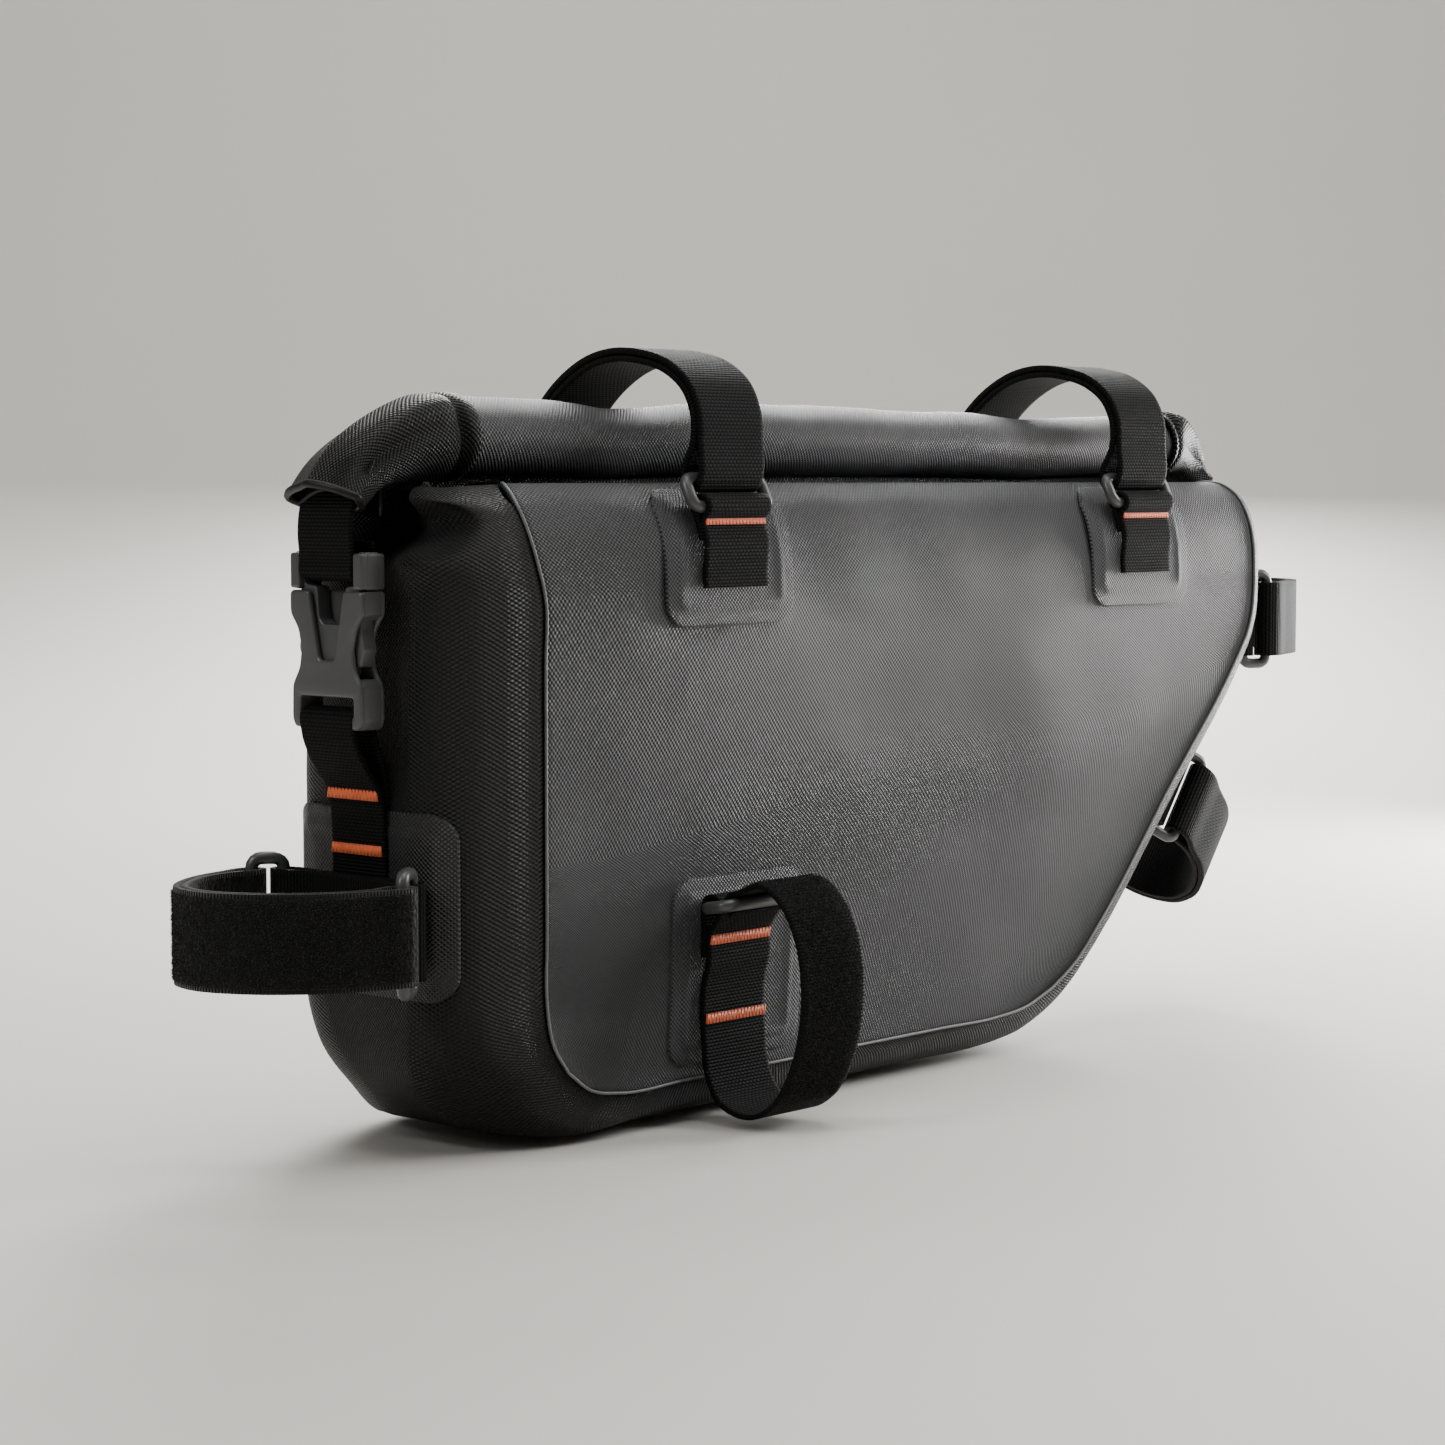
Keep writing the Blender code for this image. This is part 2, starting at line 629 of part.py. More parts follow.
def make_top_station(where, x):
    """Patches, tabs and rings on both shoulders, and the strap arched over the roll."""
    levels = [TOP_PATCH_LOW, TOP_PATCH_LOW + PATCH_CORNER, START]
    levels += [height * SHOULDER_HEIGHT for height, _ in SHOULDER[:4]]
    for side, side_name in ((-1, "right"), (1, "left")):
        side_patch(f"top_{where}_patch_{side_name}", x, TOP_PATCH, levels, side, False)
        make_top_tab(f"top_{where}_tab_{side_name}", x, side)
        low = Vector((x, side * TOP_BAR_LOW[0], TOP_BAR_LOW[1]))
        high = Vector((x, side * TOP_BAR_HIGH[0], TOP_BAR_HIGH[1]))
        ring_frame(f"top_{where}_ring_{side_name}", (low + high) / 2, high - low, Vector((1, 0, 0)), WEB)
    bar_out, bar_height = TOP_BAR_HIGH
    line = [Vector((-bar_out, bar_height))]
    for across, rise in ARCH:
        line.append(Vector((across * ARCH_HALF, bar_height + rise * (ARCH_TOP - bar_height))))
    line.append(Vector((bar_out, bar_height)))
    path = [Vector((x, point.x, point.y)) for point in folded_strap(line, STRAP_WRAP)]
    ribbon(f"top_{where}_strap", path, Vector((1, 0, 0)), WEB, STRAP_THICK, closed=True)


# The straps at the ends


def outline_at(length):
    """A point and outward normal on the rounded outline, at a length from the bottom of the front corner's arc."""
    corner = Vector((BODY_LENGTH, SLANT_TOP))
    reach = FRONT_CORNER * math.tan((math.pi / 2 - SLANT_ANGLE) / 2)
    centre = corner + Vector((-FRONT_CORNER, reach))
    bend = math.pi / 2 - SLANT_ANGLE
    angle = min(max(length / FRONT_CORNER, 0), bend)
    down = bend - angle
    normal = Vector((math.cos(down), -math.sin(down)))
    tangent = Vector((-normal.y, normal.x))
    beyond = length - angle * FRONT_CORNER
    return centre + normal * FRONT_CORNER + tangent * beyond, normal


def front_length(height):
    """The length along the slanted edge and front corner at which the outline reaches a height."""
    low, high = -SLANT_TOP / math.sin(SLANT_ANGLE), SHOULDER_HEIGHT
    for _ in range(40):
        middle = (low + high) / 2
        if outline_at(middle)[0].y < height:
            low = middle
        else:
            high = middle
    return low


def end_surface(rounding, y):
    """How far the gusset's surface falls back beside its flat middle, and its normal's turn there."""
    past = abs(y) - (HALF - rounding)
    if past <= 0:
        return 0.0, 0.0
    turn = math.asin(min(past / rounding, 1))
    return rounding * (1 - math.cos(turn)), math.copysign(turn, y)


def end_point(length, y, lift, at_rear, rounding):
    """A point lifted off the gusset; length is a height on the rear end, and runs along the outline in front."""
    if at_rear:
        base, normal = Vector((0, length)), Vector((-1, 0))
    else:
        base, normal = outline_at(length)
    back, turn = end_surface(rounding, y)
    out = base + normal * (lift * math.cos(turn) - back)
    return Vector((out.x, y + lift * math.sin(turn), out.y))


def make_end_station(name, height, patch_length, patch_width, bar_half, loop_reach, below, proud):
    """Patch, doubled tab, a ring on each side and the strap looped outwards between them."""
    at_rear = name == "seat_tube"
    rounding = REAR_ROUND if at_rear else FRONT_ROUND
    middle = height if at_rear else front_length(height)
    shift = PATCH_RISE if at_rear else 0
    half_long, half_wide = patch_length / 2, patch_width / 2
    steps = 4 if at_rear else 10
    inner = [half_long * (2 * i / steps - 1) * (1 - PATCH_CORNER / half_long) for i in range(steps + 1)]
    lengths = [middle + shift + z for z in (-half_long, *inner, half_long)]
    flat = HALF - rounding
    bends = [flat + rounding * math.sin(math.radians(30))] if half_wide > flat else []
    bends = [min(flat, half_wide - PATCH_CORNER), *bends]
    ys = [-half_wide, *[-y for y in bends[::-1]], 0, *bends, half_wide]
    grid = rounded_grid(ys, lengths, PATCH_CORNER)
    rows = [[end_point(length, y, GAP, at_rear, rounding) for y, length in row] for row in grid]
    sheet(f"{name}_patch", rows, "gusset_fabric", PATCH_WALL, side=1, flip=at_rear)

    base = Vector((0, height)) if at_rear else outline_at(middle)[0]
    normal = Vector((math.cos(math.radians(below)), -math.sin(math.radians(below))))
    across = Vector((-normal.y, 0, normal.x))

    def outward(point):
        """From lateral and outward distances to the bag's space."""
        out = base + normal * point.y
        return Vector((out.x, point.x, out.y))

    web_flat = GAP * 3 + PATCH_WALL + WEB_THICK + STRAP_SPLIT / 2 + proud
    bar = INNER_BAR_OUT + proud
    line = [Vector((-bar_half, bar))]
    line += [Vector((share * bar_half, web_flat)) for share in (-0.5, -0.2, 0.2, 0.5)]
    line.append(Vector((bar_half, bar)))
    tab = [outward(point) for point in folded_tab(line)]
    ribbon(f"{name}_tab", tab, across, WEB, WEB_THICK, closed=True)

    lean = Vector((math.sin(RING_LEAN), math.cos(RING_LEAN))) * BARS_APART
    for side, side_name in ((-1, "right"), (1, "left")):
        inner_bar = Vector((side * bar_half, bar))
        outer_bar = inner_bar + Vector((side * lean.x, lean.y))
        centre = outward((inner_bar + outer_bar) / 2)
        ring_frame(f"{name}_ring_{side_name}", centre, outward(outer_bar) - outward(inner_bar), across, WEB)
    half = bar_half + lean.x
    loop = [Vector((-half, bar + lean.y))]
    loop += [Vector((share * half, out * loop_reach)) for share, out in LOOP]
    loop.append(Vector((half, bar + lean.y)))
    strap = [outward(point) for point in folded_strap(loop, STRAP_WRAP)]
    ribbon(f"{name}_strap", strap, across, WEB, STRAP_THICK, closed=True)


def folded_tab(line):
    """Two layers of tab webbing along a line between two bars, wrapped round each."""
    layers = (WEB_THICK + GAP) / 2
    first, second = [], []
    for i, point in enumerate(line):
        at_bar = i in (0, len(line) - 1)
        apart = BAR_WRAP if at_bar else layers
        first.append(point + Vector((0, apart)))
        second.append(point - Vector((0, apart)))
    return first + wrap(line[-1], first[-1], second[-1]) + second[::-1] + wrap(line[0], second[0], first[0])


# The strap low on the right side


def make_side_station():
    """One length of webbing: over the ring's inner bar, down the patch, round a loop and through the ring."""
    rise = SIDE_PATCH_HIGH - SIDE_PATCH_LOW
    heights = (0, PATCH_CORNER / rise, 0.3, 0.5, 0.7, 1 - PATCH_CORNER / rise, 1)
    levels = [SIDE_PATCH_LOW + share * rise for share in heights]
    side_patch("side_patch", SIDE_X, SIDE_PATCH, levels, -1, True)
    face = side_depth(SIDE_STRAP_X, SIDE_BAR_HEIGHT)
    near = face + web_lift()
    inner_bar = Vector((-(near + BAR_WRAP), SIDE_BAR_HEIGHT))
    outer_bar = inner_bar + Vector((-1, SIDE_BAR_RISE / BARS_APART)).normalized() * BARS_APART
    path = [Vector((-near, SIDE_FOLD_LOW)), Vector((-near, SIDE_BAR_HEIGHT - 4 * MM))]
    path += bar_arc(inner_bar, 0, 180, BAR_WRAP)
    over = near + WEB_THICK + GAP
    path += [Vector((-over, SIDE_BAR_HEIGHT - 8 * MM)), Vector((-over, SIDE_FOLD_LOW - 1 * MM))]
    path.append(Vector((-near, SIDE_FOLD_LOW - 7 * MM)))
    floor = WEB_THICK / 2 + GAP
    loop = [Vector((-(near + out * SIDE_REACH), floor + rise * SIDE_TOP)) for out, rise in SIDE_LOOP]
    path += loop
    path.append(outer_bar + Vector((0, BAR_WRAP)))
    path += bar_arc(outer_bar, 60, -70, BAR_WRAP)
    strip = [Vector((SIDE_STRAP_X, point.x, point.y)) for point in path]
    ribbon("side_strap", strip, Vector((1, 0, 0)), WEB, WEB_THICK)
    centre = (inner_bar + outer_bar) / 2
    along = outer_bar - inner_bar
    ring_frame(
        "side_ring",
        Vector((SIDE_STRAP_X, centre.x, centre.y)),
        Vector((0, along.x, along.y)),
        Vector((1, 0, 0)),
        WEB,
    )


# The closure at the rear end, and the plain strap at the front


def plate(name, outline_half, hole_half, thick, kind, x):
    """A flat moulding in Y-Z, mirrored from its half outline, as a filled 2D curve made a mesh."""
    curve = bpy.data.curves.new(name, "CURVE")
    curve.dimensions = "2D"
    curve.fill_mode = "BOTH"
    curve.extrude = thick / 2
    for half in (outline_half, hole_half):
        full = list(half) + [(-y, z) for y, z in half[::-1] if y > 0]
        spline = curve.splines.new("POLY")
        spline.points.add(len(full) - 1)
        for point, (y, z) in zip(spline.points, full):
            point.co = (y, z, 0, 1)
        spline.use_cyclic_u = True
    guide = bpy.data.objects.new(f"{name}_outline", curve)
    cutters.objects.link(guide)
    bpy.context.view_layer.update()
    mesh = bpy.data.meshes.new_from_object(guide.evaluated_get(bpy.context.evaluated_depsgraph_get()))
    bpy.data.objects.remove(guide)
    welded(mesh)
    for vertex in mesh.vertices:
        y, z, depth = vertex.co
        vertex.co = (x + depth, y, z)
    mesh.materials.clear()
    return place(name, mesh, kind)


def welded(mesh):
    """Joins a curve's loose caps to its sides."""
    import bmesh

    work = bmesh.new()
    work.from_mesh(mesh)
    bmesh.ops.remove_doubles(work, verts=work.verts, dist=0.00001)
    bmesh.ops.recalc_face_normals(work, faces=work.faces)
    work.to_mesh(mesh)
    work.free()


def cut(piece, name, outline_points, x_low, x_high):
    """Cuts a prism along X, given by its outline in Y-Z, out of a piece."""
    count = len(outline_points)
    points = [(x, y, z) for x in (x_low, x_high) for y, z in outline_points]
    sides = [(i, (i + 1) % count, (i + 1) % count + count, i + count) for i in range(count)]
    mesh = bpy.data.meshes.new(name)
    mesh.from_pydata(points, [], [tuple(range(count)), tuple(range(2 * count - 1, count - 1, -1)), *sides])
    welded(mesh)
    cutter = place(name, mesh, None, cutters)
    cutter.hide_render = True
    cutter.display_type = "WIRE"
    change = piece.modifiers.new(name, "BOOLEAN")
    change.operation = "DIFFERENCE"
    change.object = cutter


def box_outline(half, low, high):
    """A rectangle in Y-Z, even about the mid-plane."""
    return [(-half, low), (half, low), (half, high), (-half, high)]


def make_buckle():
    """The plug, whose tongue and side arms sit in the socket's cavity, and the socket with its waist and notch."""
    half = BUCKLE_WIDE / 2
    inside = half - POST
    post_low = BUCKLE_TOP - POST_HIGH
    bar_top = BUCKLE_TOP - 2 * MM
    bar_low = bar_top - BUCKLE_BAR
    socket_top = post_low - GAP
    socket_low = socket_top - SOCKET_HIGH
    cavity_low = socket_low + 13 * MM
    tongue_low = cavity_low + 0.5 * MM
    arm_out = half - SOCKET_WALL - 0.9 * MM
    arm_in = arm_out - 2.4 * MM
    core = arm_in - 2.1 * MM
    waist = socket_top - 0.42 * SOCKET_HIGH
    plug = [
        (0, bar_top),
        (inside, bar_top),
        (inside, BUCKLE_TOP),
        (half, BUCKLE_TOP),
        (half, post_low),
        (arm_out, post_low),
        (arm_out, waist + 5 * MM),
        (arm_out + 1.2 * MM, waist),
        (arm_out - 0.5 * MM, waist - 4.5 * MM),
        (arm_in + 0.2 * MM, waist - 4.5 * MM),
        (arm_in, waist),
        (arm_in, post_low - 2.8 * MM),
        (core, post_low - 2.8 * MM),
        (core, tongue_low),
        (0, tongue_low),
    ]
    window = [
        (0, bar_low),
        (inside, bar_low),
        (inside, post_low + 1.3 * MM),
        (5.5 * MM, post_low + 0.7 * MM),
        (4.8 * MM, post_low - 7.3 * MM),
        (3.2 * MM, post_low - 9 * MM),
        (0, post_low - 9 * MM),
    ]
    plate("buckle_plug", plug, window, PLUG_THICK, "plastic", -BUCKLE_OUT)
    slot_low = socket_low + BUCKLE_BAR
    socket = [
        (0, socket_top),
        (half, socket_top),
        (half, socket_top - 6 * MM),
        (half - 3 * MM, waist + 5 * MM),
        (half - 4.2 * MM, waist),
        (half - 3.5 * MM, waist - 5 * MM),
        (half - 0.7 * MM, waist - 9.5 * MM),
        (half - 0.5 * MM, socket_low + 2.5 * MM),
        (half - 1.5 * MM, socket_low),
        (0, socket_low),
    ]
    slot = [(0, slot_low + 5 * MM), (inside, slot_low + 5 * MM), (inside, slot_low), (0, slot_low)]
    body = plate("buckle_socket", socket, slot, SOCKET_THICK, "plastic", -BUCKLE_OUT)
    over = 2 * MM
    room = PLUG_THICK / 2 + GAP
    face = SOCKET_THICK / 2 + over
    cavity = box_outline(half - SOCKET_WALL, cavity_low, socket_top + over)
    cut(body, "cavity", cavity, -BUCKLE_OUT - room, -BUCKLE_OUT + room)
    notch = [(-3 * MM, waist - 3 * MM), (3 * MM, waist - 3 * MM)]
    notch += [(6.5 * MM, socket_top + over), (-6.5 * MM, socket_top + over)]
    cut(body, "notch", notch, -BUCKLE_OUT - face, -BUCKLE_OUT - room + GAP)
    bar_room = box_outline(inside, socket_low - over, slot_low + GAP)
    bar_half = PLUG_THICK / 2
    cut(body, "bar_front", bar_room, -BUCKLE_OUT - face, -BUCKLE_OUT - bar_half)
    cut(body, "bar_back", bar_room, -BUCKLE_OUT + bar_half, -BUCKLE_OUT + face)
    return bar_low, slot_low


def make_closure():
    """Webbing from inside the hood to the plug, and from the socket down onto the end patch."""
    bar_low, slot_low = make_buckle()
    wrap_out = PLUG_THICK / 2 + BAR_PLAY + WEB_THICK / 2
    under = bar_low - BAR_PLAY - WEB_THICK / 2
    upper = [
        (4 * MM, SHOULDER_HEIGHT + 12.5 * MM),
        (-3.5 * MM, SHOULDER_HEIGHT + 8 * MM),
        (-9 * MM, SHOULDER_HEIGHT + 1.5 * MM),
        (-12.2 * MM, SHOULDER_HEIGHT - 6 * MM),
        (-BUCKLE_OUT - wrap_out - 0.6 * MM, BUCKLE_TOP + 5 * MM),
        (-BUCKLE_OUT - wrap_out, bar_low + 3 * MM),
        (-BUCKLE_OUT - wrap_out, bar_low - 0.6 * MM),
        (-BUCKLE_OUT - wrap_out + 1 * MM, under),
        (-BUCKLE_OUT + wrap_out - 1 * MM, under),
        (-BUCKLE_OUT + wrap_out, bar_low - 0.6 * MM),
        (-BUCKLE_OUT + wrap_out, bar_low + 8 * MM),
    ]
    over = slot_low + BAR_PLAY + WEB_THICK / 2
    back = GAP + WEB_THICK / 2
    lift = web_lift()
    patch_top = END_STATIONS["seat_tube"][0] + PATCH_RISE + END_STATIONS["seat_tube"][1] / 2
    rise = slot_low - patch_top
    lower = [
        (-back, patch_top + 0.097 * rise),
        (-back - 0.3 * MM, patch_top + 0.283 * rise),
        (-back - 2.6 * MM, patch_top + 0.567 * rise),
        (-BUCKLE_OUT + wrap_out, slot_low - 3 * MM),
        (-BUCKLE_OUT + wrap_out, slot_low + 0.6 * MM),
        (-BUCKLE_OUT + wrap_out - 1 * MM, over),
        (-BUCKLE_OUT - wrap_out + 1 * MM, over),
        (-BUCKLE_OUT - wrap_out, slot_low + 0.6 * MM),
        (-BUCKLE_OUT - wrap_out, slot_low - 4 * MM),
        (-8.2 * MM, patch_top + 0.466 * rise),
        (-4.3 * MM, patch_top + 0.243 * rise),
        (-2.8 * MM, patch_top + 0.081 * rise),
        (-lift, patch_top - 3 * MM),
        (-lift, CLOSURE_LOW),
    ]
    for name, points in (("closure_strap_upper", upper), ("closure_strap_lower", lower)):
        path = [Vector((x, 0, z)) for x, z in points]
        ribbon(name, path, Vector((0, 1, 0)), CLOSURE_WEB, WEB_THICK)
    front = [
        (BODY_LENGTH - 11 * MM, SHOULDER_HEIGHT + 11 * MM),
        (BODY_LENGTH - 5.5 * MM, SHOULDER_HEIGHT + 7.5 * MM),
        (BODY_LENGTH - 1.5 * MM, SHOULDER_HEIGHT + 2 * MM),
        (BODY_LENGTH + 0.4 * MM, SHOULDER_HEIGHT - 4.5 * MM),
        (BODY_LENGTH + 2.1 * MM, SHOULDER_HEIGHT - 12.5 * MM),
        (BODY_LENGTH + lift, FRONT_STRAP_LOW + 7.5 * MM),
        (BODY_LENGTH + lift, FRONT_STRAP_LOW),
    ]
    path = [Vector((x, 0, z)) for x, z in front]
    ribbon("closure_strap_front", path, Vector((0, 1, 0)), CLOSURE_WEB, WEB_THICK)


make_gusset()
make_panel("panel_right", -1)
make_panel("panel_left", 1)
make_roll()
make_hood("roll_end_rear", ROLL_START, -1, HOOD_REACH)
make_hood("roll_end_front", BODY_LENGTH - FRONT_NECK_INSET, 1, HOOD_REACH * FRONT_HOOD_SHARE)
make_closure()
for where, station_x in TOP_STATIONS.items():
    make_top_station(where, station_x)
for station, sizes in END_STATIONS.items():
    make_end_station(station, *sizes)
make_side_station()
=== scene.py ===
# %% [markdown]
# # A roll-top frame bag, dressed for a studio picture
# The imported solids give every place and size. This lesson makes the cloth, webbing and plastic that lie over
# them: each piece is worked out from the same few sizes as its solid, on a finer net, and then stands for it.

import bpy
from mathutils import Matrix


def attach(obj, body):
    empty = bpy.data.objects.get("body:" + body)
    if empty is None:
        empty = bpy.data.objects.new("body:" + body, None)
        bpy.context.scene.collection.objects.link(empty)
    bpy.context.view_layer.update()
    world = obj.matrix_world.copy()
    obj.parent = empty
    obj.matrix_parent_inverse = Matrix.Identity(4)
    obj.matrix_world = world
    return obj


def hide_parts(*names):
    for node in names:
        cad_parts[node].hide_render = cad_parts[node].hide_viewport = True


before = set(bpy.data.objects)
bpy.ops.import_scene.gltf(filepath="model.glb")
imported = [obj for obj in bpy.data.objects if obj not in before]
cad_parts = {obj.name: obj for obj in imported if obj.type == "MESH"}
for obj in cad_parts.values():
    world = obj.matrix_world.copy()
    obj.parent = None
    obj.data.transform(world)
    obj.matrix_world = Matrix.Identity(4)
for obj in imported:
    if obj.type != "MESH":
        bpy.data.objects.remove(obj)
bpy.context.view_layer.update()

# %%
import math

import bmesh
import bpy
import numpy as np
from mathutils import Matrix, Vector

MM = 0.001

# %% [markdown]
# ## The bag's sizes
# X starts at the rear end face while the shapes are worked out, as a maker would measure along the bag.
# Every finished mesh is then moved back by BASE_MIDDLE, because the solids' origin is the middle of the base.

# %% Sizes of the body
BODY_LENGTH, BODY_THICKNESS, SHOULDER_HEIGHT = 373 * MM, 70 * MM, 173.5 * MM
SLANT_TOP, SLANT_ANGLE = 122.4 * MM, math.radians(46.5)
REAR_CORNER, BOTTOM_CORNER, FRONT_CORNER = 37 * MM, 80 * MM, 40 * MM
WALL, GAP, HALF = 1.2 * MM, 0.3 * MM, 35 * MM
REAR_SEAM, BOTTOM_SEAM, FRONT_SEAM = 31 * MM, 10 * MM, 8 * MM
SEAM_CORNERS = (27 * MM, 70 * MM, 33 * MM)
REAR_ROUND, REAR_CORNER_ROUND, BOTTOM_ROUND, FRONT_ROUND = 18 * MM, 25 * MM, 9.5 * MM, 7.5 * MM
DOME, DOME_RUN = 2 * MM, 44 * MM
NECK, LIP, NECK_GAP = 2.5 * MM, 3.4 * MM, 1.5 * MM
REAR_NECK_INSET, FRONT_NECK_INSET = 46 * MM, 26 * MM
REAR_FOLD, FRONT_FOLD = 17 * MM, 10 * MM
START = 0.83 * SHOULDER_HEIGHT
SLANT_FOOT = BODY_LENGTH - SLANT_TOP / math.tan(SLANT_ANGLE)
BASE_MIDDLE = (REAR_CORNER + SLANT_FOOT - BOTTOM_CORNER * math.tan(SLANT_ANGLE / 2)) / 2
SHOULDER = (
    (0.885, 0.985),
    (0.935, 0.93),
    (0.975, 0.82),
    (0.997, 0.66),
    (1.000, 0.50),
    (0.992, 0.32),
    (0.980, 0.15),
    (0.975, 0.00),
)
REAR_END = (
    (0.00, 0.62, 0.94, 0.40),
    (0.02, 0.58, 0.83, 0.80),
    (0.06, 0.57, 0.67, 1.00),
    (0.15, 0.61, 0.50, 0.90),
    (0.28, 0.70, 0.39, 0.65),
    (0.46, 0.83, 0.28, 0.40),
    (0.67, 0.93, 0.12, 0.12),
    (0.83, 1.00, 0.07, 0.00),
)
FRONT_END = (
    (0.00, 0.31, 0.98, 0.40),
    (0.04, 0.33, 0.94, 0.80),
    (0.11, 0.37, 0.85, 1.00),
    (0.23, 0.44, 0.62, 0.90),
    (0.38, 0.55, 0.50, 0.70),
    (0.54, 0.70, 0.42, 0.40),
    (0.69, 0.85, 0.28, 0.12),
    (0.77, 1.00, 0.16, 0.00),
)
print("base middle, mm:", round(BASE_MIDDLE / MM, 2))

# %% Sizes of the roll, the webbing and the closure
ROLL_START, ROLL_HEIGHT, ROLL_DEPTH = 28 * MM, 24 * MM, 32 * MM
ROLL_SHEET, ROLL_PITCH, ROLL_TURNS = 1.6 * MM, 2.1 * MM, 2.25
ROLL_MIDDLE = SHOULDER_HEIGHT + GAP + ROLL_HEIGHT / 2
WEB, WEB_THICK, CLOSURE_WEB = 25 * MM, 1.4 * MM, 20 * MM
STRAP_THICK, STRAP_SPLIT = 1.7 * MM, 0.5 * MM
BAR, BARS_APART, RING_PLAY, RING_CORNER, BAR_PLAY = 1.75 * MM, 8.5 * MM, 1 * MM, 2.6 * MM, 0.5 * MM
BAR_WRAP, STRAP_WRAP = BAR + BAR_PLAY + WEB_THICK / 2, BAR + BAR_PLAY + STRAP_THICK / 2
PATCH_WALL, PATCH_CORNER, CONVERGE = 1.0 * MM, 7 * MM, 13 * MM
print("roll middle, mm:", round(ROLL_MIDDLE / MM, 2))

# %% [markdown]
# ## Nets and cloth
# A cloth surface could be sculpted, but then it would drift from the solids. Here a coarse net of points is
# worked out from the sizes, a smooth curve is run through its points in both directions, and Solidify gives
# it a wall. The lengths along the net become its UV map, in metres, so that a weave keeps its real scale.


# %% Smooth nets
def fine(net, steps, closed=False):
    """More rows in a net of points, on smooth curves through the rows that are there."""
    net = np.asarray(net, float)
    if closed:
        net = np.concatenate([net[-2:], net, net[:3]])
    runs = np.linalg.norm(net[1:] - net[:-1], axis=2, keepdims=True) + 1e-9
    slopes = (net[1:] - net[:-1]) / runs
    inner = (slopes[:-1] * runs[1:] + slopes[1:] * runs[:-1]) / (runs[1:] + runs[:-1])
    tangents = np.concatenate([slopes[:1], inner, slopes[-1:]])
    rows = []
    for i in range(len(net) - 1):
        for step in range(steps):
            t = step / steps
            rows.append(
                (2 * t**3 - 3 * t**2 + 1) * net[i]
                + (t**3 - 2 * t**2 + t) * runs[i] * tangents[i]
                + (3 * t**2 - 2 * t**3) * net[i + 1]
                + (t**3 - t**2) * runs[i] * tangents[i + 1]
            )
    if closed:
        return np.array(rows[2 * steps : -2 * steps])
    return np.array([*rows, net[-1]])


def fine_both(net, along, across):
    """A net made finer in both directions."""
    return fine(fine(net, along).swapaxes(0, 1), across).swapaxes(0, 1)


def mesh_from_net(name, net, flip=False, closed=False):
    """A surface through a net, with its lengths in metres as UV map."""
    count, across = net.shape[:2]
    points = net.reshape(-1, 3) - (BASE_MIDDLE, 0, 0)
    last = count if closed else count - 1
    i, j = np.meshgrid(np.arange(last), np.arange(across - 1), indexing="ij")
    low, high = i * across + j, (i + 1) % count * across + j
    corners = np.stack([low, low + 1, high + 1, high], -1).reshape(-1, 4)
    ring = np.concatenate([net, net[:1]]) if closed else net
    u = np.concatenate([[0], np.cumsum(np.linalg.norm(ring[1:] - ring[:-1], axis=2).mean(1))])
    v = np.concatenate([[0], np.cumsum(np.linalg.norm(net[:, 1:] - net[:, :-1], axis=2).mean(0))])
    v -= v[-1] / 2
    uv = np.stack([np.stack([u[i + a], v[j + b]], -1) for a, b in ((0, 0), (0, 1), (1, 1), (1, 0))], 2)
    uv = uv.reshape(-1, 4, 2)
    if flip:
        corners, uv = corners[:, ::-1], uv[:, ::-1]
    mesh = bpy.data.meshes.new(name)
    mesh.from_pydata(points.tolist(), [], corners.tolist())
    mesh.uv_layers.new(name="cloth").data.foreach_set("uv", uv.astype(np.float32).ravel())
    mesh.shade_smooth()
    return mesh


# %% [markdown]
# ## Pieces and their places
# Each finished mesh is linked, given its finish, tied to the body and, where it stands for solids, put in
# their place. One helper does this for every piece, so none is forgotten.


# %% Put a piece on the bag
FINISHES = {}


def dress(name, mesh, finish, stands_for=(), wall=0, side=-1):
    """Links a mesh as a piece of the bag that stands for the named solids."""
    piece = bpy.data.objects.new(name, mesh)
    bpy.context.scene.collection.objects.link(piece)
    if not mesh.materials:
        mesh.materials.append(FINISHES[finish])
    if wall:
        thick = piece.modifiers.new("wall", "SOLIDIFY")
        thick.thickness = wall
        thick.offset = side
        thick.use_even_offset = False
    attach(piece, "root")
    if stands_for:
        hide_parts(*stands_for)
    return piece


# %% [markdown]
# ## Finishes
# The coated fabric is a basket weave sealed under a thin film: small rounded bumps about a millimetre apart,
# softened by the film, with a dull sheen. A picture could be wrapped on it, but a wave pattern on the UV map
# keeps its real scale and has no end. The same nodes, with other colours, make the gusset's weave and the patches.


# %% Helpers for finishes
def new_finish(name, colour, roughness, sheen=0.0, gloss=0.5):
    """A Principled material with its plain values set on the shader's own sockets."""
    made = bpy.data.materials.new(name)
    made.use_nodes = True
    shader = made.node_tree.nodes["Principled BSDF"]
    shader.inputs["Base Color"].default_value = (*colour, 1)
    shader.inputs["Roughness"].default_value = roughness
    shader.inputs["Sheen Weight"].default_value = sheen
    shader.inputs["Specular IOR Level"].default_value = gloss
    shader.inputs["Sheen Roughness"].default_value = 0.4
    FINISHES[name] = made
    return made, made.node_tree, shader


def calc(tree, operation, *values):
    """A Math node on values or sockets."""
    node = tree.nodes.new("ShaderNodeMath")
    node.operation = operation
    for socket, value in zip(node.inputs, values):
        if isinstance(value, (int, float)):
            socket.default_value = value
        else:
            tree.links.new(value, socket)
    return node.outputs[0]


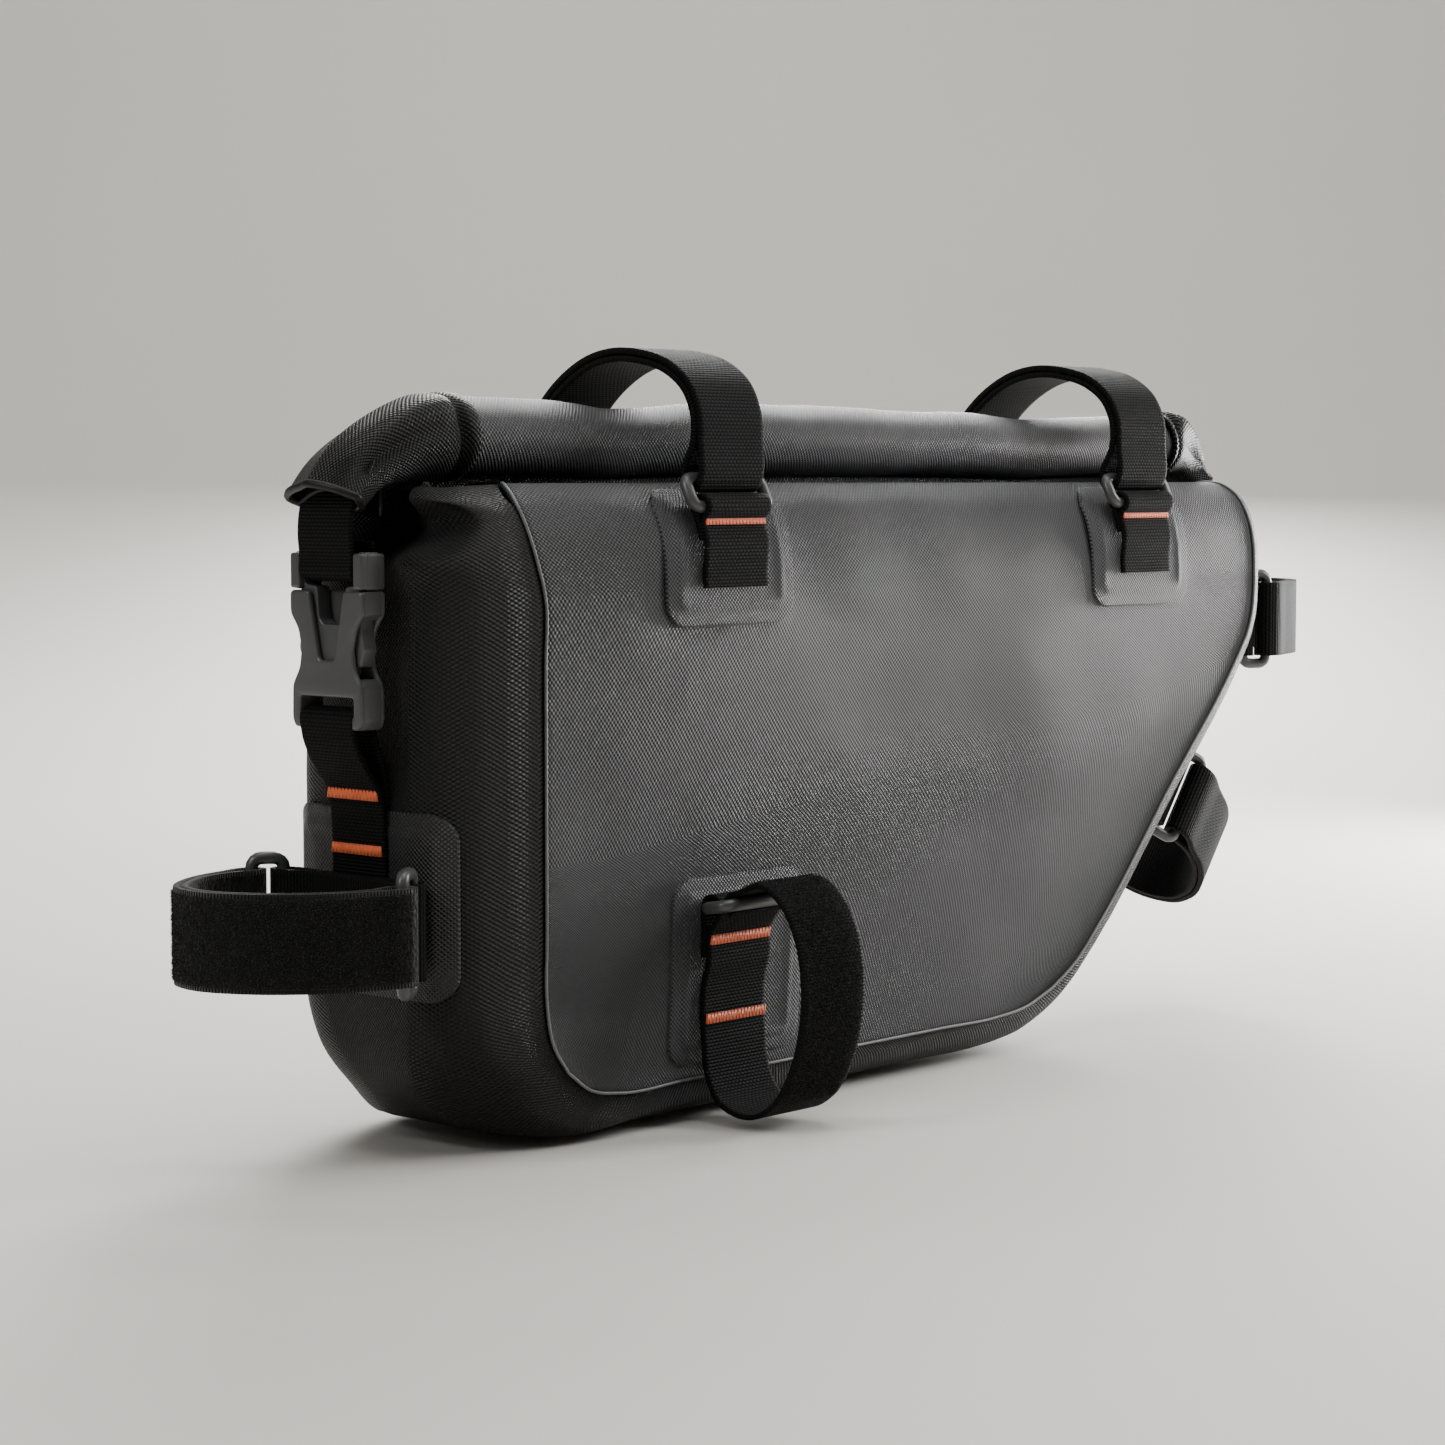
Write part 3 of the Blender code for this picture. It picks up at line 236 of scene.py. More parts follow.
def tint(tree, share, low, high):
    """A colour between two, by a share."""
    node = tree.nodes.new("ShaderNodeMix")
    node.data_type = "RGBA"
    tree.links.new(share, node.inputs["Factor"])
    for socket, value in (("A", low), ("B", high)):
        place = [s for s in node.inputs if s.name == socket and s.type == "RGBA"][0]
        if isinstance(value, tuple):
            place.default_value = (*value, 1)
        else:
            tree.links.new(value, place)
    return [s for s in node.outputs if s.type == "RGBA"][0]


def relief(tree, shader, height, depth, strength=1.0):
    """Bump on a shader from a height between 0 and 1."""
    bump = tree.nodes.new("ShaderNodeBump")
    bump.inputs["Distance"].default_value = depth
    bump.inputs["Strength"].default_value = strength
    tree.links.new(height, bump.inputs["Height"])
    tree.links.new(bump.outputs["Normal"], shader.inputs["Normal"])
    return bump


def cloth_axes(tree):
    """The UV map's two lengths, in millimetres."""
    source = tree.nodes.new("ShaderNodeUVMap")
    source.uv_map = "cloth"
    split = tree.nodes.new("ShaderNodeSeparateXYZ")
    tree.links.new(source.outputs["UV"], split.inputs[0])
    return calc(tree, "MULTIPLY", split.outputs["X"], 1000.0), calc(tree, "MULTIPLY", split.outputs["Y"], 1000.0)


def cloudy(tree, scale, detail=3.0):
    """Noise in the object's own space."""
    place = tree.nodes.new("ShaderNodeTexCoord")
    noise = tree.nodes.new("ShaderNodeTexNoise")
    noise.inputs["Scale"].default_value = scale
    noise.inputs["Detail"].default_value = detail
    tree.links.new(place.outputs["Object"], noise.inputs["Vector"])
    return noise.outputs["Fac"]


# %% Coated fabric
def coated(name, dark, light, roughness, period, depth, sheen, gloss):
    """Basket weave under a film: bumps where warp and weft cross, with painted shade in the valleys and painted
    highlight on their tops.
    """
    made, tree, shader = new_finish(name, dark, roughness, sheen, gloss)
    u, v = cloth_axes(tree)
    turn = 2 * math.pi / period
    waves = calc(tree, "MULTIPLY", calc(tree, "SINE", calc(tree, "MULTIPLY", u, turn)),
                 calc(tree, "SINE", calc(tree, "MULTIPLY", v, turn)))
    bumps = calc(tree, "MULTIPLY_ADD", waves, 0.5, 0.5)
    patchy_shade = calc(tree, "MULTIPLY_ADD", cloudy(tree, 14.0), 0.5, 0.25)
    # Painted shade and highlight: the colour follows the weave's height, darker in the valleys and lighter on the
    # tops, more so in patches.
    share = calc(tree, "MULTIPLY", bumps, calc(tree, "ADD", patchy_shade, 0.4))
    tree.links.new(tint(tree, share, dark, light), shader.inputs["Base Color"])
    rough = calc(tree, "MULTIPLY_ADD", cloudy(tree, 9.0), 0.22, roughness - 0.11)
    tree.links.new(rough, shader.inputs["Roughness"])
    soft = calc(tree, "MULTIPLY", cloudy(tree, 160.0, 2.0), 0.5)
    relief(tree, shader, calc(tree, "ADD", bumps, soft), depth)
    return made


# In each pair of colours the first is the weave's painted shade in the valleys and the second its painted highlight
# on the tops.
coated("charcoal_fabric", (0.010, 0.0104, 0.0112), (0.100, 0.103, 0.110), 0.5, 1.25, 0.0006, 0.0, 0.28)
coated("gusset_fabric", (0.001, 0.001, 0.001), (0.017, 0.017, 0.0173), 0.46, 1.25, 0.0006, 0.0, 0.22)
coated("welded_patch", (0.011, 0.0114, 0.0122), (0.082, 0.085, 0.091), 0.47, 1.25, 0.0004, 0.0, 0.22)
coated("gusset_patch", (0.003, 0.003, 0.003), (0.024, 0.024, 0.0245), 0.42, 1.25, 0.0004, 0.0, 0.45)


def weld_bead(name, dark, light):
    """The film squeezed out along a weld: uneven in tone and a little lumpy, and lighter than the panel as a painted
    highlight along the raised seam.
    """
    made, tree, shader = new_finish(name, dark, 0.4)
    tree.links.new(tint(tree, cloudy(tree, 60.0), dark, light), shader.inputs["Base Color"])
    relief(tree, shader, cloudy(tree, 400.0, 2.0), 0.0003)
    return made


# Both colours are lighter than the panel: a painted highlight along the raised seam line.
weld_bead("weld_edge_painted_highlight", (0.08, 0.0815, 0.085), (0.20, 0.203, 0.21))
print("finishes:", list(FINISHES))

# %% [markdown]
# Webbing is woven in crosswise ribs, each rib a row of small knots that is shifted half a knot from the next,
# with a firmer cord along both edges. Hook-and-loop strap has a flat woven edge and a pile between: its pile
# is made of loops too small to model, so noise gives the tangle and short bristles break the outline.


# %% Webbing, pile, thread, plastic
def webbing(name, dark, light, rib, knot):
    """Crosswise ribs of knots, with painted shade between them and painted highlight on their tops."""
    made, tree, shader = new_finish(name, dark, 0.7, 0.0, 0.08)
    u, v = cloth_axes(tree)
    row = calc(tree, "DIVIDE", u, rib)
    shift = calc(tree, "MULTIPLY", calc(tree, "FLOOR", row), 0.5)
    ribs = calc(tree, "ABSOLUTE", calc(tree, "SINE", calc(tree, "MULTIPLY", row, math.pi)))
    along = calc(tree, "ADD", calc(tree, "DIVIDE", v, knot), shift)
    knots = calc(tree, "ABSOLUTE", calc(tree, "SINE", calc(tree, "MULTIPLY", along, math.pi)))
    height = calc(tree, "MULTIPLY", ribs, calc(tree, "MULTIPLY_ADD", knots, 0.45, 0.55))
    # Painted shade and highlight: the colour follows the height of ribs and knots, darkest between them.
    tree.links.new(tint(tree, height, dark, light), shader.inputs["Base Color"])
    relief(tree, shader, height, 0.0003)
    return made


def pile(name, dark, light):
    """The tangle of a hook-and-loop strap's soft side, woven flat along its edges."""
    made, tree, shader = new_finish(name, dark, 0.85, 0.2, 0.2)
    u, v = cloth_axes(tree)
    tangle = cloudy(tree, 900.0, 4.0)
    clumps = cloudy(tree, 240.0, 3.0)
    height = calc(tree, "MULTIPLY", tangle, calc(tree, "MULTIPLY_ADD", clumps, 1.2, 0.2))
    edge = calc(tree, "GREATER_THAN", calc(tree, "ABSOLUTE", v), 11.3)
    weave = calc(tree, "ABSOLUTE", calc(tree, "SINE", calc(tree, "MULTIPLY", u, math.pi / 0.9)))
    mixed = calc(tree, "ADD", calc(tree, "MULTIPLY", height, calc(tree, "SUBTRACT", 1.0, edge)),
                 calc(tree, "MULTIPLY", calc(tree, "MULTIPLY", weave, 0.35), edge))
    # The colour follows the same height as the bump: random tone in the tangle, and painted shade where the pile and
    # the edge weave are low.
    tree.links.new(tint(tree, mixed, dark, light), shader.inputs["Base Color"])
    relief(tree, shader, mixed, 0.0012)
    return made


# The first colour is the webbing's painted shade between the ribs and the second its painted highlight on them.
webbing("black_webbing", (0.0008, 0.0008, 0.0008), (0.010, 0.010, 0.0103), 0.95, 1.5)
# The pile's first colour is its painted shade in low places and the second its tops.
pile("black_pile", (0.002, 0.002, 0.002), (0.020, 0.020, 0.021))
made, tree, shader = new_finish("bristle", (0.012, 0.012, 0.012), 0.8, 0.2, 0.2)
low, high = (0.004, 0.004, 0.004), (0.022, 0.022, 0.023)
tree.links.new(tint(tree, cloudy(tree, 60.0), low, high), shader.inputs["Base Color"])
made, tree, shader = new_finish("orange_thread", (0.72, 0.11, 0.03), 0.5, 0.2)
low, high = (0.62, 0.085, 0.018), (0.95, 0.20, 0.05)
tree.links.new(tint(tree, cloudy(tree, 500.0), low, high), shader.inputs["Base Color"])
made, tree, shader = new_finish("moulded_plastic", (0.055, 0.056, 0.058), 0.34, 0, 0.6)
rough = calc(tree, "MULTIPLY_ADD", cloudy(tree, 40.0), 0.16, 0.28)
tree.links.new(rough, shader.inputs["Roughness"])
low, high = (0.042, 0.043, 0.0445), (0.075, 0.076, 0.078)
tree.links.new(tint(tree, cloudy(tree, 25.0), low, high), shader.inputs["Base Color"])
relief(tree, shader, cloudy(tree, 2600.0, 2.0), 0.00005, 0.6)
print("finishes:", list(FINISHES))

# %% [markdown]
# ## The body
# A welded bag has a dark band round its edge and a lighter panel on each side. The band is folded inwards
# at both ends of the top, like a gift wrapping. Its cross-section turns with the outline, so a loft is the
# tool: rounded corners in the outline, and one section at each of its points.


# %% The outline in the X-Z plane
def smooth(share):
    """0 to 1 with a level start and end."""
    share = np.clip(share, 0, 1)
    return share * share * (3 - 2 * share)


RUN_STEPS, ARC_STEPS, UP_STEPS, ALONG_STEPS = (6, 6, 2, 1), (4, 4, 3), 8, 10


def rounded_path(corners, radii):
    """Points and run positions along a polyline whose inner corners are rounded."""
    path = [(corners[0], 0.0)]
    for turn, (before, corner, after) in enumerate(zip(corners, corners[1:], corners[2:])):
        to_before, to_after = (before - corner).normalized(), (after - corner).normalized()
        half_angle = to_before.angle(to_after) / 2
        reach = radii[turn] / math.tan(half_angle)
        centre = corner + (to_before + to_after).normalized() * radii[turn] / math.sin(half_angle)
        start, end = corner + to_before * reach, corner + to_after * reach
        last = path[-1][0]
        for step in range(1, RUN_STEPS[turn] + 1):
            path.append((last.lerp(start, step / RUN_STEPS[turn]), float(turn)))
        for step in range(1, ARC_STEPS[turn] + 1):
            share = step / ARC_STEPS[turn]
            path.append((centre + (start - centre).slerp(end - centre, share) * radii[turn], turn + share))
    path.append((corners[-1], float(len(radii))))
    return path


def outline(rear, bottom, slant, front, radii):
    """The body's outline, moved inwards by an inset on each of its four runs."""
    x_front = BODY_LENGTH - front
    foot = SLANT_FOOT - slant / math.sin(SLANT_ANGLE)
    corners = [(rear, START), (rear, bottom), (foot + bottom / math.tan(SLANT_ANGLE), bottom)]
    corners += [(x_front, (x_front - foot) * math.tan(SLANT_ANGLE)), (x_front, START)]
    return rounded_path([Vector(corner) for corner in corners], radii)


OUTER = outline(0, 0, 0, 0, (REAR_CORNER, BOTTOM_CORNER, FRONT_CORNER))
SEAM = outline(REAR_SEAM, BOTTOM_SEAM, FRONT_SEAM, FRONT_SEAM, SEAM_CORNERS)
print("stations on the outline:", len(OUTER))


# %% The gusset's net
def gusset_section(outer, seam, half_width, rounding, fold):
    """Points across the gusset from the right seam, over the end or bottom, to the left seam."""
    inward = (seam - outer).normalized()
    reach = (seam - outer).length
    rounding = min(rounding, 0.95 * reach)
    flat = half_width - rounding
    half = [(reach, half_width)]
    for degrees in (0, 30, 60, 90):
        turn = math.radians(degrees)
        half.append((rounding * (1 - math.sin(turn)), flat + rounding * math.cos(turn)))
    half += [(fold * smooth(1 - share), flat * share) for share in (0.66, 0.33)]
    full = [(inset, -y) for inset, y in half] + [(fold, 0.0)] + [(inset, y) for inset, y in half[::-1]]
    return [(outer.x + inward.x * inset, y, outer.y + inward.y * inset) for inset, y in full]


def end_rows(table, neck_inset, rounding, fold_depth, at_front):
    """The gusset's sections over one shoulder end, up to the neck's lip."""
    sections = []
    for (height, depth), (lobe, seam, rounds, fold) in zip(SHOULDER, table):
        ends = [lobe * neck_inset, seam * neck_inset]
        if at_front:
            ends = [BODY_LENGTH - end for end in ends]
        outer, inner = (Vector((end, height * SHOULDER_HEIGHT)) for end in ends)
        width = max(depth * HALF, NECK)
        sections.append(gusset_section(outer, inner, width, rounds * rounding, fold * fold_depth))
    sections.append([(x, y, z + LIP) for x, y, z in sections[-1]])
    return sections


def gusset_net():
    """All of the gusset's sections, from the rear neck round the bottom to the front neck."""
    rounds = (REAR_ROUND, REAR_CORNER_ROUND, BOTTOM_ROUND, BOTTOM_ROUND, FRONT_ROUND, FRONT_ROUND, FRONT_ROUND)
    rows = end_rows(REAR_END, REAR_NECK_INSET, REAR_ROUND, REAR_FOLD, False)[::-1]
    for (outer, position), (seam, _) in zip(OUTER, SEAM):
        rows.append(gusset_section(outer, seam, HALF, np.interp(2 * position, range(7), rounds), 0))
    rows += end_rows(FRONT_END, FRONT_NECK_INSET, FRONT_ROUND, FRONT_FOLD, True)
    return np.array(rows)


# %% [markdown]
# Cloth is never quite even: it pulls between its welds and sinks where it is pressed. A few slow waves, made
# from fixed sines and held at nothing on the seams, are enough to catch the light like a filled bag.


# %% Slow waves
def waves(points, size, seed):
    """A smooth pattern between about -1 and 1, fixed by its seed."""
    rng = np.random.default_rng(seed)
    total = np.zeros(points.shape[:-1])
    for _ in range(6):
        direction = rng.normal(size=3)
        direction /= np.linalg.norm(direction)
        total += np.sin(points @ direction * 2 * math.pi / (size * rng.uniform(0.7, 1.6)) + rng.uniform(0, 6.3))
    return total / 3


def net_normals(net):
    """Normals of a net, to the side its faces point to."""
    along, across = np.gradient(net, axis=0), np.gradient(net, axis=1)
    normals = np.cross(across, along)
    return normals / (np.linalg.norm(normals, axis=2, keepdims=True) + 1e-12)




def swelling(points, centre, size):
    """1 at a place, falling to nothing around it; centre and size in millimetres along X, Y and Z."""
    away = (points - np.array(centre) * MM) / (np.array(size) * MM)
    return np.exp(-(away**2).sum(-1))


net = fine_both(gusset_net(), 5, 4)
pocket = swelling(net, (8, -20, 162.5), (16, 13, 5)) + swelling(net, (8, 20, 162.5), (16, 13, 5))
lip = swelling(net, (2, -17, 152.5), (12, 15, 4)) + swelling(net, (2, 17, 152.5), (12, 15, 4))
lobe = swelling(net, (14, -22, 171), (16, 13, 4)) + swelling(net, (14, 22, 171), (16, 13, 4))
net[..., 0] += (8.0 * pocket - 3.0 * lip - 5.0 * lobe) * MM
net[..., 2] += (0.8 * lip - 1.2 * lobe) * MM
steady = np.minimum(smooth(np.linspace(0, 1, net.shape[1]) * 6), smooth(np.linspace(1, 0, net.shape[1]) * 6))
top = smooth((net[..., 2] - 90 * MM) / (60 * MM))
rear = net[..., 0] < 120 * MM
sag = (waves(net, 60 * MM, 3) * 0.9 + waves(net, 22 * MM, 5) * 0.35) * MM * steady[None, :]
sag = np.where(rear, sag * (0.35 + 0.9 * top), sag * 0.25)
sag = np.minimum(sag, 0.2 * MM) * (net[..., 2] > 3 * MM)
net = net + net_normals(net) * sag[..., None]
mesh = mesh_from_net("gusset_cloth", net)
dress("gusset_cloth", mesh, "gusset_fabric", ["gusset"], WALL)
print("gusset faces:", len(mesh.polygons))


# %% The side panels' surface
def shoulder_depth(height):
    """Half the body's thickness at a height, over the shoulder up to its crest."""
    rows = [(0.83, 1.0), *SHOULDER[:5]]
    return HALF * np.interp(np.asarray(height) / SHOULDER_HEIGHT, [r[0] for r in rows], [r[1] for r in rows])


def dome(x, z):
    """How far a side panel swells beyond flat, falling to nothing at its seams."""
    slant_in = (z - (x - SLANT_FOOT) * math.tan(SLANT_ANGLE)) * math.cos(SLANT_ANGLE) - FRONT_SEAM
    rises = (x - REAR_SEAM, z - BOTTOM_SEAM, BODY_LENGTH - FRONT_SEAM - x, slant_in)
    return DOME * np.prod([smooth(rise / DOME_RUN) for rise in rises], axis=0)


def side_depth(x, z):
    """A side panel's distance from the mid-plane."""
    depth = shoulder_depth(z)
    return depth + dome(x, z) * depth / HALF


def side_point(x, z, lift, side):
    """A point lifted off a side panel's surface; side is -1 for right, 1 for left."""
    step = 0.8 * MM
    slope_x = (side_depth(x + step, z) - side_depth(x - step, z)) / (2 * step)
    slope_z = (side_depth(x, z + step) - side_depth(x, z - step)) / (2 * step)
    normal = Vector((-slope_x, 1, -slope_z)).normalized() * lift
    return Vector((x + normal.x, side * (side_depth(x, z) + normal.y), z + normal.z))


def seam_edge(index):
    """A seam point moved inwards by the gap between gusset and panel."""
    outer, seam = OUTER[index][0], SEAM[index][0]
    return seam + (seam - outer).normalized() * GAP


def panel_net(side):
    """One side panel's net: a patch between its seams, then the shoulder's rows up to the lip."""
    corner = RUN_STEPS[0] + ARC_STEPS[0] // 2
    left = [seam_edge(corner - i) for i in range(UP_STEPS + 1)]
    bottom = [seam_edge(corner + i) for i in range(ALONG_STEPS + 1)]
    right = [seam_edge(corner + ALONG_STEPS + i) for i in range(UP_STEPS + 1)]
    top = [left[-1].lerp(right[-1], i / ALONG_STEPS) for i in range(ALONG_STEPS + 1)]
    rows = []
    for i in range(UP_STEPS + 1):
        v = i / UP_STEPS
        row = []
        for j in range(ALONG_STEPS + 1):
            u = j / ALONG_STEPS
            flat = bottom[j].lerp(top[j], v) + left[i].lerp(right[i], u)
            flat -= bottom[0].lerp(bottom[-1], u).lerp(top[0].lerp(top[-1], u), v)
            row.append((flat.x, side * side_depth(flat.x, flat.y), flat.y))
        rows.append(row)
    for (height, depth), rear, front in zip(SHOULDER, REAR_END, FRONT_END):
        z = height * SHOULDER_HEIGHT
        width = max(depth * HALF, NECK)
        clear = GAP if width > 3 * NECK else NECK_GAP
        x_rear = rear[1] * REAR_NECK_INSET + clear
        x_front = BODY_LENGTH - front[1] * FRONT_NECK_INSET - clear
        xs = np.linspace(x_rear, x_front, ALONG_STEPS + 1)
        rows.append([(x, side * (width + dome(x, z) * depth), z) for x in xs])
    rows.append([(x, y, z + LIP) for x, y, z in rows[-1]])
    return np.array(rows)


# %% The side panels and their seam lines
def weld_line(name, points, radius, finish):
    """A thin raised line along a weld, as a tube through points."""
    curve = bpy.data.curves.new(name, "CURVE")
    curve.dimensions = "3D"
    curve.bevel_depth = radius
    curve.bevel_resolution = 2
    curve.use_fill_caps = True
    spline = curve.splines.new("POLY")
    spline.points.add(len(points) - 1)
    for point, at in zip(spline.points, points):
        point.co = (at[0] - BASE_MIDDLE, at[1], at[2], 1)
    guide = bpy.data.objects.new(name, curve)
    bpy.context.scene.collection.objects.link(guide)
    mesh = bpy.data.meshes.new_from_object(guide.evaluated_get(bpy.context.evaluated_depsgraph_get()))
    bpy.data.objects.remove(guide)
    mesh.name = name
    mesh.materials.clear()
    mesh.shade_smooth()
    return dress(name, mesh, finish)


for side, side_name in ((-1, "right"), (1, "left")):
    net = fine_both(panel_net(side), 7, 12)
    rows, columns = net.shape[:2]
    u = np.minimum(np.linspace(0, 1, columns), np.linspace(1, 0, columns))
    v = np.minimum(np.linspace(0, 1, rows), np.linspace(1, 0, rows))
    steady = smooth(u * 9)[None, :] * smooth(v * 7)[:, None]
    top = smooth((net[..., 2] - 100 * MM) / (55 * MM))
    sag = (waves(net, 110 * MM, 11 + side) * 0.9 + waves(net, 38 * MM, 21 + side) * (0.25 + 0.45 * top)) * MM
    sag = np.minimum(sag * steady, 0.25 * MM)
    net[..., 1] += side * sag
    mesh = mesh_from_net(f"panel_{side_name}_cloth", net, flip=side > 0)
    dress(f"panel_{side_name}_cloth", mesh, "charcoal_fabric", [f"panel_{side_name}"], WALL)
    edge = np.concatenate([net[::-1, 0], net[0, 1:], net[1:, -1]])
    edge = edge[(edge[:, 2] < 0.993 * SHOULDER_HEIGHT) | (np.abs(edge[:, 1]) > 0.5 * HALF)]
    # Each panel's seam line uses the weld bead's finish, lighter than the panel as a painted highlight.
    weld_line(f"weld_{side_name}", edge + (0, side * 0.4 * MM, 0), 0.45 * MM, "weld_edge_painted_highlight")
    print("panel", side_name, "faces:", len(mesh.polygons))

# %% [markdown]
# ## The rolled top
# The collar rises between the lips and is rolled down over itself. Its section is a flat spiral, swept along
# the bag and pinched a little where the straps press on it, so a net of spirals is the direct way.

# %% The roll
ROLL_STATIONS = (
    (0.00, 1.00, 0.00),
    (0.07, 0.99, 0.00),
    (0.13, 0.97, -0.01),
    (0.19, 0.92, -0.03),
    (0.30, 0.97, 0.00),
    (0.45, 0.98, 0.00),
    (0.60, 0.96, -0.01),
    (0.72, 0.95, -0.02),
    (0.79, 0.91, -0.03),
    (0.90, 0.96, -0.01),
    (1.00, 0.98, 0.00),
)


def roll_net():
    """Spirals along the roll."""
    end = BODY_LENGTH - FRONT_NECK_INSET
    rows = []
    for along, swell, lift in ROLL_STATIONS:
        half_high = (ROLL_HEIGHT - ROLL_SHEET) / 2 * swell
        half_deep = (ROLL_DEPTH - ROLL_SHEET) / 2 * swell
        middle = ROLL_MIDDLE + lift * ROLL_HEIGHT - (1 - swell) * ROLL_HEIGHT / 2
        x = ROLL_START + along * (end - ROLL_START)
        between_lips = REAR_NECK_INSET + 3 * NECK_GAP < x < end
        foot = SHOULDER[-1][0] * SHOULDER_HEIGHT if between_lips else SHOULDER_HEIGHT - GAP
        row = [(x, 0.0, foot)]
        for step in range(round(ROLL_TURNS * 12) + 1):
            turn = 2 * math.pi * step / 12
            shrink = ROLL_PITCH * step / 12
            row.append((x, (half_deep - shrink) * math.sin(turn), middle - (half_high - shrink) * math.cos(turn)))
        rows.append(row)
    return np.array(rows)


net = roll_net()
net = np.concatenate([net[:, :1], fine(net[:, 1:].swapaxes(0, 1), 5).swapaxes(0, 1)], 1)
net = fine(net, 12)
ends = smooth(np.minimum(np.linspace(0, 1, len(net)), np.linspace(1, 0, len(net))) * 12)
outer = smooth(np.linspace(3.2, 0, net.shape[1]))
dent = (waves(net, 70 * MM, 31) * 0.5 + waves(net, 24 * MM, 33) * 0.16) * MM
dent = np.minimum(dent * ends[:, None] * outer[None, :], 0.25 * MM)
dent[:, :4] = 0
net = net - net_normals(net) * dent[..., None] * -1
mesh = mesh_from_net("rolled_collar", net)
dress("rolled_collar", mesh, "charcoal_fabric", ["roll"], ROLL_SHEET, 0)
print("roll faces:", len(mesh.polygons))

# %% [markdown]
# At each end the roll is flattened and folded down over the bag's end, and the closure webbing comes out of
# its mouth. The fold is an open tube, so a ring of points is carried along its bend and shaped on the way:
# pinched where it leaves the roll, then wide, with a crease that runs to the corner of the mouth.

# %% The folded ends
HOOD_REACH = 41 * MM
HOOD = (
    (0.00, 0.00, 0.500, 0.500, 0),
    (0.17, 0.00, 0.495, 0.500, 8),
    (0.57, 0.17, 0.480, 0.440, 28),
    (0.86, 0.42, 0.460, 0.350, 44),
    (1.00, 0.66, 0.450, 0.300, 55),
)


def hood_net(x_start, direction, reach):
    """Rings along the folded end, 24 points in each, the top first."""
    rings = []
    for out, drop, wide, high, degrees in HOOD:
        tilt = -direction * math.radians(degrees)
        fall = drop * ROLL_HEIGHT * (0.4 + 0.6 * reach / HOOD_REACH)
        ring = []
        power = 2 - 0.62 * float(smooth(out * 1.4))
        for step in range(24):
            turn = 2 * math.pi * step / 24
            pull = (abs(math.cos(turn)) ** power + abs(math.sin(turn)) ** power) ** (-1 / power)
            up = high * ROLL_HEIGHT * math.cos(turn) * pull
            x = x_start + direction * (GAP + out * reach) - up * math.sin(tilt)
            ring.append((x, wide * ROLL_DEPTH * math.sin(turn) * pull, ROLL_MIDDLE - fall + up * math.cos(tilt)))
        rings.append(ring)
    return fine(np.array(rings), 10)


def crease(net, share, angle, width_along, width_round, depth):
    """Sinks a net of rings along a short crease; share is how far out, angle in degrees from the top."""
    out = np.linspace(0, 1, len(net))[:, None]
    turn = np.linspace(0, 360, net.shape[1], endpoint=False)[None, :]
    away = (turn - angle + 180) % 360 - 180
    sink = np.exp(-(((out - share) / width_along) ** 2) - (away / width_round) ** 2) * depth
    centre = net.mean(1, keepdims=True)
    inward = centre - net
    inward /= np.linalg.norm(inward, axis=2, keepdims=True)
    return net + inward * sink[..., None]


for name, x_start, direction, share in (
    ("roll_end_rear", ROLL_START, -1, 1.0),
    ("roll_end_front", BODY_LENGTH - FRONT_NECK_INSET, 1, 0.58),
):
    net = hood_net(x_start, direction, HOOD_REACH * share)
    net = crease(net, 0.17, 285, 0.06, 75, 2.6 * MM)
    net = crease(net, 0.45, 318, 0.30, 20, -3.4 * MM)
    net = crease(net, 0.62, 276, 0.30, 26, 3.6 * MM)
    net = crease(net, 0.90, 232, 0.30, 18, -1.8 * MM)
    net = crease(net, 0.55, 20, 0.40, 24, 1.6 * MM)
    net = crease(net, 0.30, 62, 0.10, 40, 1.6 * MM)
    net = net + net_normals(net) * (waves(net, 17 * MM, 41) * 0.22 * MM)[..., None]
    rows = fine(net.swapaxes(0, 1), 3, closed=True)
    mesh = mesh_from_net(f"{name}_cloth", rows, flip=direction < 0, closed=True)
    dress(f"{name}_cloth", mesh, "gusset_fabric", [name], 1.5 * MM)
    mouth = rows[:, -1]
    inward = mouth.mean(0) - mouth
    hem = mouth + inward / np.linalg.norm(inward, axis=1, keepdims=True) * 0.7 * MM
    weld_line(f"{name}_hem", [*hem, hem[0], hem[1]], 1.15 * MM, "gusset_fabric")
    print(name, "faces:", len(mesh.polygons))

# %% [markdown]
# Under the fold the collar's two layers run on into the roll, and inside the mouth a second pleat is tucked
# over the webbing. Both are small single sheets.

# %% Collar and pleat
ups = np.linspace(165, 177.5, 5) * MM
net = np.array([[(x, 0.9 * MM * math.sin(x * 190), z) for z in ups] for x in np.linspace(7, 52, 14) * MM])
dress("collar_web", mesh_from_net("collar_web", net), "gusset_fabric", (), 1.5 * MM, 0)
pleat = (
    ((-3.0, 12.0, 180.0), (-6.0, 5.0, 181.0), (-7.0, -3.0, 180.5), (-5.5, -11.0, 179.0)),
    ((-7.5, 11.5, 175.5), (-9.6, 5.0, 177.0), (-10.2, -3.0, 176.5), (-8.0, -11.5, 175.5)),
    ((-12.0, 10.5, 168.5), (-12.6, 4.5, 171.3), (-12.4, -3.5, 172.6), (-10.2, -11.8, 172.2)),
)
net = fine_both(np.array(pleat) * MM, 6, 6)
dress("tucked_pleat", mesh_from_net("tucked_pleat", net), "gusset_fabric", (), 1.0 * MM, 0)
weld_line("tucked_pleat_hem", net[-1], 0.8 * MM, "gusset_fabric")

# %% [markdown]
# ## Webbing
# A strap is a flat band with slightly rounded edges. A bevelled curve would twist on the bends, so each band
# is a net that is three points wide on each face, run along its path, and Solidify closes it. The path's
# length is in its UV map, so the ribs follow every bend.


